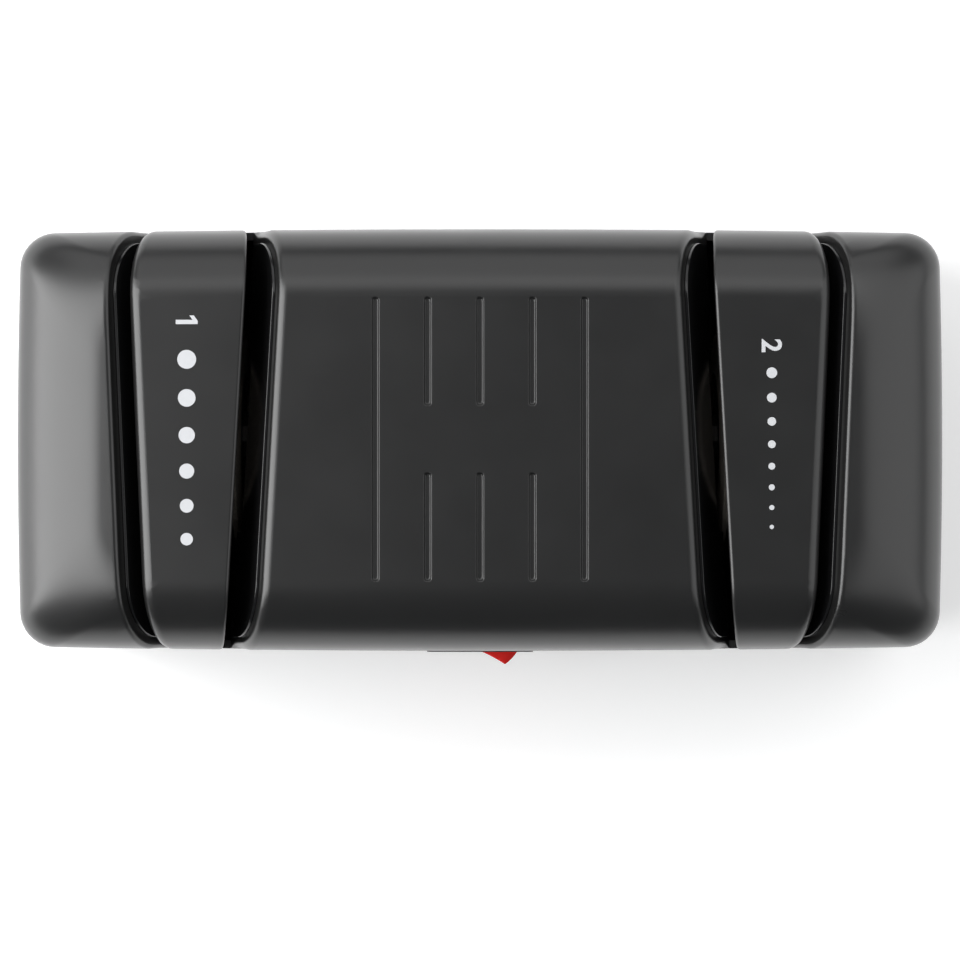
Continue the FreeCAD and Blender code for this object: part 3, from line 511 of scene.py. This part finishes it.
# %% Cut the bridges from the same form
BRIDGE_EDGES = (0.8, 2.6)
BRIDGE_BULGE = 0.35
BULGE_START = 57.0
BULGE_REACH = 23.0
BULGE_FLOOR = 68.0
BULGE_DEPTH = 42.0
BRIDGE_WALL = 1.9
BRIDGE_NOTCH_TOP = 74.5
TAB_PLACE = (67.7, 46.4, 63.0)
TAB_SIZE = (10, 1.8, 12)
for name, side in STAGES.items():
    skin = moulded_skin(SLOT_FLOOR)
    planes = bridge_planes(side)
    edges = list(zip(planes, BRIDGE_EDGES))
    for plane, radius in edges:
        for share in ROUND_SHARES:
            slice_skin(skin, plane[0], plane[1] + share * radius, lambda centre: True)
    gone = [f for f in skin.faces if any(beyond(p, f.calc_center_median()) > 0 for p in planes)]
    bmesh.ops.delete(skin, geom=gone, context="FACES")
    rims = [(plane, rim_of(skin, plane)) for plane in planes]
    round_edges(skin, edges)
    for plane, rim in rims:
        close_wall(skin, rim, plane, BRIDGE_NOTCH_TOP)
    for point in skin.verts:
        outwards = ramp(abs(point.co.x), BULGE_START, BULGE_REACH)
        lift = max(point.co.z - BULGE_FLOOR, 0.0) / (TOP - BULGE_FLOOR)
        point.co.x += side * BRIDGE_BULGE * outwards * lift * (1 - (point.co.y / BULGE_DEPTH) ** 2)
    thicken(skin, BRIDGE_WALL)
    for end in (-1, 1):
        for point in bmesh.ops.create_cube(skin, size=1.0)["verts"]:
            x, y, z = (at * size for at, size in zip(point.co, TAB_SIZE))
            point.co = (side * TAB_PLACE[0] + x, end * (TAB_PLACE[1] + y), TAB_PLACE[2] + z)
    bridge = add_piece(
        f"{name}_bridge_skin", skin, stands_for=(f"{name}_bridge",), flat_faces=True)
    print(name, "bridge faces:", len(bridge.data.polygons))

# %% [markdown]
# ## Small turned pieces
# The CAD's feet, grommet and screws have few sides, because they are small. Close up they should be
# round, so each is turned again with more sides and with the soft edges that moulded rubber and
# pressed heads have.

# %% Feet, grommet and base screws
FOOT_PLACES = [(x, y, 0) for x in (-82.0, 82.0) for y in (-38.0, 38.0)]
FOOT = (
    (0, 0.5), (4.6, 0.5), (4.9, 0.1), (5.5, 0), (6.0, 0.2), (6.25, 0.7), (6.9, 3.6), (6.8, 3.95), (0, 3.97),
)
feet = bmesh.new()
for place in FOOT_PLACES:
    turned(feet, FOOT, place)
rubber_feet = add_piece("rubber_feet_round", feet, stands_for=("rubber_feet",))
INLET = (-30.0, 0.0, 20.0)
COLLAR = (
    (3.7, 46.0), (5.1, 46.0), (5.1, 51.5), (7.3, 51.5), (7.5, 52.2), (7.5, 53.0), (7.2, 53.6), (6.6, 53.9),
    (5.2, 54.0), (4.3, 53.8), (3.8, 53.2), (3.7, 52.4), (3.7, 46.0),
)
COLLAR_SIDES = 48
SAME_POINT = 1e-4
grommet = bmesh.new()
turned(grommet, COLLAR, INLET, TO_BACK, sides=COLLAR_SIDES)
bmesh.ops.remove_doubles(grommet, verts=grommet.verts, dist=SAME_POINT)
inlet = add_piece("cord_grommet_round", grommet, stands_for=("cord_grommet",))


HEAD_FLAT = 2.5
HEAD_LEVEL = 4.0
HEAD = ((HEAD_FLAT, 4.0), (2.85, 4.2), (3.0, 4.6), (3.0, 5.6), (0, 5.6))
SCREW_SHANK = ((0, 5.6), (1.4, 5.6), (1.4, 16.6), (0, 17.6))
CROSS_QUARTER = ((1.7, -0.32), (1.7, 0.32), (0.32, 0.32))
CROSS_DEPTH = 1.0
CROSS_TAPER = 0.75


def screw_head(target, place):
    """A pan head, seen from below, with a cross pressed into it."""
    x, y, z = place[0], place[1], HEAD_LEVEL
    cross = [Matrix.Rotation(-k * math.pi / 2, 2) @ Vector(p) for k in range(4) for p in CROSS_QUARTER]
    turned(target, HEAD, place)
    turns = [2 * math.pi * i / TURNED_SIDES for i in range(TURNED_SIDES)]
    rim = [target.verts.new((x + HEAD_FLAT * math.cos(t), y + HEAD_FLAT * math.sin(t), z)) for t in turns]
    top = [target.verts.new((x + p.x, y + p.y, z)) for p in cross]
    low = [target.verts.new((x + p.x * CROSS_TAPER, y + p.y * CROSS_TAPER, z + CROSS_DEPTH)) for p in cross]
    edges = [target.edges.new((a, b)) for ring in (rim, top) for a, b in zip(ring, ring[1:] + ring[:1])]
    bmesh.ops.triangle_fill(target, edges=edges, use_beauty=True, use_dissolve=False)
    for i in range(len(cross)):
        j = (i + 1) % len(cross)
        target.faces.new((top[i], top[j], low[j], low[i]))
    target.faces.new(low)


screws = bmesh.new()
for place in SCREW_PLACES:
    screw_head(screws, place)
    turned(screws, SCREW_SHANK, place, sides=SMALL_SIDES)
bmesh.ops.remove_doubles(screws, verts=screws.verts, dist=SAME_POINT)
base_screws = add_piece("base_screws_round", screws, stands_for=("base_screws",))
print("feet, grommet and screws:", [len(p.data.polygons) for p in (rubber_feet, inlet, base_screws)])

# %% [markdown]
# ## The red rocker
# The rocker is a short drum on two pins. Its front is dished, so that one end stands out while the
# other is pressed in. Only a corner of it shows from above. The outline is drawn flat, pushed up
# and down, and turned to rest.

# %% Rocker
ROCKER_RADIUS = 11.07
ROCKER_RISE = 5.46
ROCKER_REST = math.radians(-13.3)
ROCKER_HALF = 5.1
ROCKER_PIVOT = (0, -47.0, 28.0)
DISH_POWER = 1.5
FRONT_STEPS = 14
TIP_ANGLE = 48
DRUM_ANGLE = 28
DRUM_STEPS = 6
ROCKER_BACK = [(2.0, 3.0), (-2.0, 3.0)]
PINS = ((0, -6.0), (1.2, -6.0), (1.2, 6.0), (0, 6.0))
tip_x = ROCKER_RADIUS * math.sin(math.radians(TIP_ANGLE))
tip_y = ROCKER_RADIUS * math.cos(math.radians(TIP_ANGLE))


def dish(x):
    """The dished front of the rocker, as a distance in front of its pivot."""
    return ROCKER_RISE + (tip_y - ROCKER_RISE) * (abs(x) / tip_x) ** DISH_POWER


steps = [tip_x * i / FRONT_STEPS for i in range(-FRONT_STEPS, FRONT_STEPS + 1)]
front = [(x, -dish(x)) for x in steps]
drum = [math.radians(TIP_ANGLE + DRUM_ANGLE * i / DRUM_STEPS) for i in range(1, DRUM_STEPS + 1)]
right = [(ROCKER_RADIUS * math.sin(t), -ROCKER_RADIUS * math.cos(t)) for t in drum]
outline = front + right + ROCKER_BACK + [(-x, y) for x, y in reversed(right)]
rocker = bmesh.new()
levels = ((-ROCKER_HALF, 0.92), (-ROCKER_HALF + 0.12, 0.965), (-ROCKER_HALF + 0.4, 1.0))
levels += tuple((-z, share) for z, share in reversed(levels))
sections = [[rocker.verts.new((x * share, y * share, z)) for x, y in outline] for z, share in levels]
for low, high in zip(sections, sections[1:]):
    for i in range(len(outline)):
        j = (i + 1) % len(outline)
        rocker.faces.new((low[i], low[j], high[j], high[i]))
for section in (sections[0], sections[-1]):
    rocker.faces.new(section)
turned(rocker, PINS, (0, 0, 0), sides=SMALL_SIDES)
at_rest = Matrix.Translation(ROCKER_PIVOT) @ Matrix.Rotation(ROCKER_REST, 4, "Z")
rocker.transform(at_rest)
add_piece("rocker_paddle_dished", rocker, body="rocker", stands_for=("rocker_paddle",))
print("rocker width in mm:", round(2 * tip_x, 2))

# %% Marks for on and off
FILM_ROOT = -0.1
FILM_LIFT = 0.05
MARK_PLACE = 4.9
BAR = ((-0.25, -1.4), (0.25, -1.4), (0.25, 1.4), (-0.25, 1.4))
RING = (1.45, 1.0, 32)
SMALL_STEP = 0.01


def flat_shape(target, outline, place):
    """A thin raised film with a given outline. The place is a matrix whose z axis points outwards."""
    low, high = (
        [target.verts.new(place @ Vector((x, y, z))) for x, y in outline] for z in (FILM_ROOT, FILM_LIFT)
    )
    target.faces.new(high)
    for i in range(len(outline)):
        j = (i + 1) % len(outline)
        target.faces.new((low[i], low[j], high[j], high[i]))


def flat_ring(target, outer, inner, sides, place):
    """A thin raised ring, or a dot where the inner radius is next to nothing."""
    turns = [2 * math.pi * i / sides for i in range(sides)]
    rings = []
    for radius, z in ((outer, FILM_ROOT), (outer, FILM_LIFT), (inner, FILM_LIFT), (inner, FILM_ROOT)):
        spots = [place @ Vector((radius * math.cos(t), radius * math.sin(t), z)) for t in turns]
        rings.append([target.verts.new(spot) for spot in spots])
    for low, high in zip(rings, rings[1:]):
        for i in range(sides):
            j = (i + 1) % sides
            target.faces.new((low[i], low[j], high[j], high[i]))


def on_dish(x):
    """A place on the dished front, as a matrix whose z axis points out of it."""
    slope = (dish(x + SMALL_STEP) - dish(x - SMALL_STEP)) / (2 * SMALL_STEP)
    out = Vector((-slope, -1, 0)).normalized()
    up = Vector((0, 0, 1))
    spot = Matrix((up.cross(out), up, out)).transposed().to_4x4()
    spot.translation = (x, -dish(x), 0)
    return at_rest @ spot


marks = bmesh.new()
flat_shape(marks, BAR, on_dish(-MARK_PLACE))
flat_ring(marks, *RING, on_dish(MARK_PLACE))
rocker_marks = add_piece("rocker_marks", marks, body="rocker")
print("marks on the rocker:", len(rocker_marks.data.polygons), "faces")

# %% [markdown]
# ## White print on the bridges
# Each bridge carries a plain number and a row of dots that get smaller: large ones for the coarse
# stage and small ones for the fine stage. Print has almost no thickness, so each mark is a film
# that stands a twentieth of a millimetre proud of the flat top.

# %% Numbers and dots
ONE = ((0.5, 0), (0.5, 5.1), (-0.3, 5.1), (-1.5, 4.2), (-1.5, 3.15), (-0.5, 3.9), (-0.5, 0))
FONT_WEIGHT = 0.022
FONT_THICKNESS = 0.01
FONT_LIFT = FILM_LIFT / FONT_THICKNESS


def numeral(target, digit, height, place):
    """A plain digit as a thin raised film: a one drawn from listed points, or another in Blender's
    typeface.
    """
    if digit == 1:
        flat_shape(target, ONE, place)
        return
    letters = bpy.data.curves.new("digit", "FONT")
    letters.body = str(digit)
    letters.extrude = FONT_THICKNESS
    letters.offset = FONT_WEIGHT
    stand_in = bpy.data.objects.new("digit", letters)
    mesh = bpy.data.meshes.new_from_object(stand_in)
    across = [point.co.x for point in mesh.vertices]
    up = [point.co.y for point in mesh.vertices]
    middle, low, scale = (max(across) + min(across)) / 2, min(up), height / (max(up) - min(up))
    for point in mesh.vertices:
        x, y, z = point.co
        point.co = place @ Vector(((x - middle) * scale, (y - low) * scale, z * FONT_LIFT))
    target.from_mesh(mesh)
    bpy.data.objects.remove(stand_in)
    bpy.data.meshes.remove(mesh)
    bpy.data.curves.remove(letters)


READING = Matrix.Rotation(-math.pi / 2, 4, "Z")
FIRST_GAP = 0.35
DOT_SIDES = 28
DOT_CENTRE = 0.001
PRINT = {
    "coarse": (1, -70.65, 27.2, 5.1, 4.7, (4.4, 4.1, 3.8, 3.5, 3.2, 2.9)),
    "fine": (2, 65.4, 21.7, 4.7, 3.4, (2.5, 2.25, 2.0, 1.8, 1.6, 1.4, 1.2, 1.0)),
}
for name, (digit, x, y, height, gap, dots) in PRINT.items():
    ink = bmesh.new()
    numeral(ink, digit, height, Matrix.Translation((x, y, TOP)) @ READING)
    middle = x + height / 2
    along = y - height * FIRST_GAP
    for width in dots:
        along -= gap + width
        spot = Matrix.Translation((middle, along + width / 2, TOP))
        flat_ring(ink, width / 2, DOT_CENTRE, DOT_SIDES, spot)
    print(name, "print ends at y =", round(along, 1))
    add_piece(f"{name}_print", ink)

# %% [markdown]
# ## Finishes
# Every finish is made of nodes on object coordinates, so nothing has to be unwrapped and the grain
# has one scale on every piece. One function covers most of them: a noise that varies the colour and
# the gloss a little, and a finer one for the bump. Moulded plastic is never one flat colour,
# because the tool's texture, flow and handling show.

# %% One recipe for finishes
PLASTIC_IOR = 1.5


def node(tree, kind, **values):
    """A node with its inputs and settings filled in."""
    made = tree.nodes.new(kind)
    for key, value in values.items():
        if key in made.inputs:
            made.inputs[key].default_value = value
        else:
            setattr(made, key, value)
    return made


def finish(name, colour, rough, spread=0.12, patch=60.0, grain=2500.0, bump=0.15, depth=0.00002,
           rough_spread=0.05, metal=0.0, coat=0.0, coat_rough=None, shade=None):
    """A finish whose colour and gloss vary by patches and whose surface has a grain."""
    made = bpy.data.materials.new(name)
    made.use_nodes = True
    tree = made.node_tree
    surface = tree.nodes["Principled BSDF"]
    surface.inputs["Metallic"].default_value = metal
    surface.inputs["IOR"].default_value = PLASTIC_IOR
    surface.inputs["Coat Weight"].default_value = coat
    surface.inputs["Coat Roughness"].default_value = rough if coat_rough is None else coat_rough
    where = node(tree, "ShaderNodeTexCoord")
    patches = node(tree, "ShaderNodeTexNoise", Scale=patch, Detail=3.0)
    grains = node(tree, "ShaderNodeTexNoise", Scale=grain, Detail=2.0)
    for texture in (patches, grains):
        tree.links.new(where.outputs["Object"], texture.inputs["Vector"])
    tones = node(tree, "ShaderNodeMix", data_type="RGBA")
    dark, light = ([c * (1 + k * spread) for c in colour] + [1.0] for k in (-1, 1))
    tones.inputs["A"].default_value = dark
    tones.inputs["B"].default_value = shade + (1.0,) if shade else light
    tree.links.new(patches.outputs["Fac"], tones.inputs["Factor"])
    tree.links.new(tones.outputs["Result"], surface.inputs["Base Color"])
    gloss = node(tree, "ShaderNodeMapRange")
    gloss.inputs["To Min"].default_value = max(rough - rough_spread, 0.02)
    gloss.inputs["To Max"].default_value = min(rough + rough_spread, 1.0)
    tree.links.new(patches.outputs["Fac"], gloss.inputs["Value"])
    tree.links.new(gloss.outputs["Result"], surface.inputs["Roughness"])
    relief = node(tree, "ShaderNodeBump", Strength=bump, Distance=depth)
    tree.links.new(grains.outputs["Fac"], relief.inputs["Height"])
    tree.links.new(relief.outputs["Normal"], surface.inputs["Normal"])
    return made


satin_black = finish("satin_black", (0.013, 0.013, 0.013), 0.30, spread=0.06, grain=5200.0, bump=0.10,
                     coat=0.25)
gloss_black = finish("gloss_black", (0.009, 0.009, 0.0095), 0.14, patch=140.0, grain=900.0, bump=0.03)
base_black = finish("base_black", (0.030, 0.030, 0.031), 0.62, grain=2600.0, bump=0.5, depth=0.00004)
switch_black = finish("switch_black", (0.014, 0.014, 0.014), 0.45, grain=3400.0, bump=0.3)
rubber = finish("rubber", (0.022, 0.022, 0.022), 0.82, spread=0.2, grain=1800.0, bump=0.4, depth=0.00005)
red_plastic = finish("red_plastic", (0.78, 0.018, 0.012), 0.26, spread=0.07, patch=300.0, bump=0.08,
                     coat=0.25, coat_rough=0.1)
plain = (satin_black, gloss_black, base_black, switch_black, rubber, red_plastic)
print("plain finishes:", [made.name for made in plain])

# %% [markdown]
# ## Metal, grit and windings
# The hidden pieces have finishes too. Turned steel has rings about the shaft, laminations are thin
# sheets side by side, and enamelled wire lies in rows. A wave texture gives such rows, and its
# bands are laid at the real spacing.

# %% Rows and rings added to a finish
GAP_TINT = (0.25, 0.22, 0.2, 1.0)


def add_rows(made, spacing, direction="X", rings=False, strength=0.5, depth=0.00008, centre=(0, 0, 0),
             darken=0.5):
    """Lay regular bands or rings over a finish, as bump and as a darker tone in the gaps."""
    tree = made.node_tree
    surface = tree.nodes["Principled BSDF"]
    where = node(tree, "ShaderNodeTexCoord")
    moved = node(tree, "ShaderNodeMapping", Location=tuple(-c for c in centre))
    tree.links.new(where.outputs["Object"], moved.inputs["Vector"])
    rows = node(tree, "ShaderNodeTexWave", Scale=math.pi / (10 * spacing), Distortion=0.3, Detail=1.0)
    rows.wave_type = "RINGS" if rings else "BANDS"
    if rings:
        rows.rings_direction = direction
    else:
        rows.bands_direction = direction
    tree.links.new(moved.outputs["Vector"], rows.inputs["Vector"])
    relief = node(tree, "ShaderNodeBump", Strength=strength, Distance=depth)
    tree.links.new(rows.outputs["Fac"], relief.inputs["Height"])
    tree.links.new(surface.inputs["Normal"].links[0].from_socket, relief.inputs["Normal"])
    tree.links.new(relief.outputs["Normal"], surface.inputs["Normal"])
    tinted = node(tree, "ShaderNodeMix", data_type="RGBA", blend_type="MULTIPLY")
    weight = node(tree, "ShaderNodeMapRange")
    weight.inputs["To Min"].default_value = darken
    weight.inputs["To Max"].default_value = 0.0
    tree.links.new(rows.outputs["Fac"], weight.inputs["Value"])
    tree.links.new(weight.outputs["Result"], tinted.inputs["Factor"])
    tree.links.new(surface.inputs["Base Color"].links[0].from_socket, tinted.inputs["A"])
    tinted.inputs["B"].default_value = GAP_TINT
    tree.links.new(tinted.outputs["Result"], surface.inputs["Base Color"])
    return made


SHAFT = (0.0, 0.0, 0.046)
steel = add_rows(finish("turned_steel", (0.55, 0.55, 0.56), 0.32, metal=1.0, grain=3000.0, bump=0.05),
                 0.0005, rings=True, strength=0.12, depth=0.00002, centre=SHAFT, darken=0.15)
oiled_steel = add_rows(finish("oiled_steel", (0.055, 0.053, 0.05), 0.5, metal=1.0, grain=3000.0, bump=0.1),
                       0.0004, strength=0.1, depth=0.00002, darken=0.2)
zinc_steel = finish("zinc_steel", (0.60, 0.60, 0.58), 0.34, metal=1.0, patch=220.0, grain=1500.0,
                    shade=(0.68, 0.65, 0.54))
lamination = add_rows(finish("laminations", (0.19, 0.19, 0.20), 0.42, metal=1.0, patch=300.0),
                      0.0005, darken=0.6)
copper = add_rows(finish("enamelled_copper", (0.46, 0.16, 0.055), 0.24, metal=1.0, coat=0.6, patch=500.0),
                  0.00042, direction="Z", strength=0.9, depth=0.0002, darken=0.75)
shading_copper = finish("bare_copper", (0.72, 0.34, 0.22), 0.3, metal=1.0, patch=250.0,
                        shade=(0.5, 0.2, 0.12))
bronze = finish("sintered_bronze", (0.50, 0.33, 0.15), 0.5, metal=1.0, grain=3600.0, bump=0.7,
                depth=0.00006)
aluminium = finish("cast_aluminium", (0.66, 0.66, 0.68), 0.48, metal=1.0, grain=1400.0, bump=0.5,
                   depth=0.00006)
white_nylon = finish("white_nylon", (0.70, 0.69, 0.63), 0.45, spread=0.05, patch=90.0, grain=2000.0)
coarse_grit = finish("coarse_grit", (0.20, 0.17, 0.14), 0.85, spread=0.6, patch=2600.0, grain=1700.0,
                     bump=1.0, depth=0.0003, rough_spread=0.15, shade=(0.45, 0.40, 0.34))
fine_grit = finish("fine_grit", (0.32, 0.28, 0.24), 0.78, spread=0.4, patch=6000.0, grain=4200.0, bump=0.9,
                   depth=0.00012, rough_spread=0.12, shade=(0.55, 0.50, 0.44))
ink_white = finish("white_ink", (0.60, 0.61, 0.63), 0.5, spread=0.04, patch=900.0, grain=5200.0, bump=0.1)
print("finishes in all:", len(bpy.data.materials))

# %% [markdown]
# ## Dressing the pieces
# A CAD node keeps its shape and only gets its finish. The slot walls of the housing and the bridges
# are glossier than the rest, so those pieces have a second finish. Sharp CAD edges catch no light,
# so the ones that can be seen get a narrow bevel, after a weld that joins the corners which the
# file keeps apart.

# %% Give every piece its finish
NODE_FINISH = {
    "base_plate": base_black, "motor_pads": rubber, "motor_screws": zinc_steel, "stator_core": lamination,
    "shading_rings": shading_copper, "coil_bobbin": white_nylon, "field_winding": copper,
    "left_motor_bracket": zinc_steel, "right_motor_bracket": zinc_steel,
    "left_bush": bronze, "right_bush": bronze, "stack_bolts": zinc_steel,
    "rotor_shaft": oiled_steel, "drive_pins": oiled_steel, "retaining_rings": oiled_steel,
    "rotor_core": lamination, "rotor_end_rings": aluminium, "thrust_washers": white_nylon,
    "cooling_fan": white_nylon, "switch_body": switch_black, "switch_terminals": bronze,
    "coarse_bridge_skin": satin_black, "fine_bridge_skin": satin_black, "housing_skin": satin_black,
    "rubber_feet_round": rubber, "cord_grommet_round": switch_black, "base_screws_round": zinc_steel,
    "rocker_paddle_dished": red_plastic, "rocker_marks": ink_white,
    "coarse_print": ink_white, "fine_print": ink_white,
}
WITH_GLOSSY_WALLS = ("housing_skin", "coarse_bridge_skin", "fine_bridge_skin")
for stage, grit in (("coarse", coarse_grit), ("fine", fine_grit)):
    NODE_FINISH[f"{stage}_spring"] = steel
    for place in ("inner", "outer"):
        NODE_FINISH[f"{stage}_{place}_guide"] = gloss_black
        NODE_FINISH[f"{stage}_{place}_disc"] = oiled_steel
        NODE_FINISH[f"{stage}_{place}_abrasive"] = grit
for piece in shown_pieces():
    piece.data.materials.clear()
    piece.data.materials.append(NODE_FINISH[piece.name])
    if piece.name in WITH_GLOSSY_WALLS:
        piece.data.materials.append(gloss_black)

# %% Soften the CAD edges that can be seen
GUIDE_EDGE = 0.00022
SOFT_EDGES = {"switch_body": 0.0004, "base_plate": 0.0003}
for stage in STAGES:
    for place in ("inner", "outer"):
        SOFT_EDGES[f"{stage}_{place}_guide"] = GUIDE_EDGE
for name, width in SOFT_EDGES.items():
    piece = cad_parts[name]
    weld = piece.modifiers.new("join_corners", "WELD")
    weld.merge_threshold = 1e-6
    bevel = piece.modifiers.new("soft_edges", "BEVEL")
    bevel.width = width
    bevel.segments = 3
    bevel.limit_method = "ANGLE"
    bevel.angle_limit = math.radians(40)
    bevel.harden_normals = True
    bevel.use_clamp_overlap = True
print("bevelled nodes:", len(SOFT_EDGES))

# %% [markdown]
# ## Floor, light and camera
# The photograph is taken from straight above, on white. The floor is a large pale sheet. To the
# camera and in reflections it also glows a little, so that it reads as paper white and still keeps
# the object's soft shadow.

# %% Floor
FLOOR_HALF = 6.0
FLOOR_GLOW = 0.32
floor_mesh = bmesh.new()
bmesh.ops.create_grid(floor_mesh, x_segments=8, y_segments=8, size=FLOOR_HALF)
mesh = bpy.data.meshes.new("floor")
floor_mesh.to_mesh(mesh)
floor_mesh.free()
floor = bpy.data.objects.new("floor", mesh)
bpy.context.scene.collection.objects.link(floor)
paper = bpy.data.materials.new("white_paper")
paper.use_nodes = True
tree = paper.node_tree
surface = tree.nodes["Principled BSDF"]
surface.inputs["Base Color"].default_value = (0.86, 0.86, 0.86, 1.0)
surface.inputs["Roughness"].default_value = 0.9
surface.inputs["Specular IOR Level"].default_value = 0.1
seen = node(tree, "ShaderNodeLightPath")
either = node(tree, "ShaderNodeMath", operation="MAXIMUM")
every = node(tree, "ShaderNodeMath", operation="MAXIMUM")
glow = node(tree, "ShaderNodeMath", operation="MULTIPLY")
glow.inputs[1].default_value = FLOOR_GLOW
tree.links.new(seen.outputs["Is Camera Ray"], either.inputs[0])
tree.links.new(seen.outputs["Is Glossy Ray"], either.inputs[1])
tree.links.new(either.outputs["Value"], every.inputs[0])
tree.links.new(seen.outputs["Is Transmission Ray"], every.inputs[1])
tree.links.new(every.outputs["Value"], glow.inputs[0])
surface.inputs["Emission Color"].default_value = (1, 1, 1, 1)
tree.links.new(glow.outputs["Value"], surface.inputs["Emission Strength"])
mesh.materials.append(paper)
print("floor half size in m:", FLOOR_HALF)

# %% [markdown]
# ## Light
# The left end of the object is bright, the back roll and the right end are dark grey, and the front
# is nearly black. So one large soft light stands on the left, a weaker one on the right, and two
# stand behind, of which the high one lights the back roll and the low one its edge. A faint light
# high on the left lifts the flat top, which mirrors what hangs above it. The world is a dim grey
# that fills the rest.

# %% Soft lights and world
AIM = Vector((0, 0, 0.06))
WORLD_STRENGTH = 0.10
SOFT_LIGHTS = {
    "left_light": ((-0.90, 0.02, 0.60), 0.8, 1.3, 18.5),
    "top_left_light": ((-0.46, 0.02, 1.15), 0.7, 0.5, 0.8),
    "top_back_light": ((0.02, 0.58, 1.14), 1.5, 0.42, 3.2),
    "low_back_light": ((0.0, 1.02, 0.70), 2.2, 0.8, 5.6),
    "right_light": ((0.90, 0.08, 0.66), 1.1, 1.1, 4.8),
}


def soft_light(name, place, length, slant, power):
    """A rectangular lamp that faces the object. Its length lies level and its slant leans."""
    lamp = bpy.data.lights.new(name, "AREA")
    lamp.shape = "RECTANGLE"
    lamp.size, lamp.size_y, lamp.energy = length, slant, power
    light = bpy.data.objects.new(name, lamp)
    bpy.context.scene.collection.objects.link(light)
    light.location = place
    light.visible_camera = False
    aim = AIM - Vector(place)
    level = Vector((1, 0, 0)) if abs(place[1]) > abs(place[0]) else Vector((0, 1, 0))
    side = (level - aim * level.dot(aim) / aim.length_squared).normalized()
    back = -aim.normalized()
    light.rotation_euler = Matrix((side, back.cross(side), back)).transposed().to_euler()


for name, settings in SOFT_LIGHTS.items():
    soft_light(name, *settings)
world = bpy.data.worlds.new("dim_room")
bpy.context.scene.world = world
world.use_nodes = True
world.node_tree.nodes["Background"].inputs["Color"].default_value = (0.9, 0.95, 1.0, 1.0)
world.node_tree.nodes["Background"].inputs["Strength"].default_value = WORLD_STRENGTH
bpy.context.scene.view_settings.view_transform = "Standard"

# %% Camera
camera_data = bpy.data.cameras.new("camera")
camera_data.lens = 104.5
camera_data.sensor_width = 36.0
camera_data.clip_start = 0.01
camera = bpy.data.objects.new("camera", camera_data)
bpy.context.scene.collection.objects.link(camera)
camera.location = (0.0, -0.0095, 0.737)
bpy.context.scene.camera = camera
print("camera height in m:", camera.location.z)
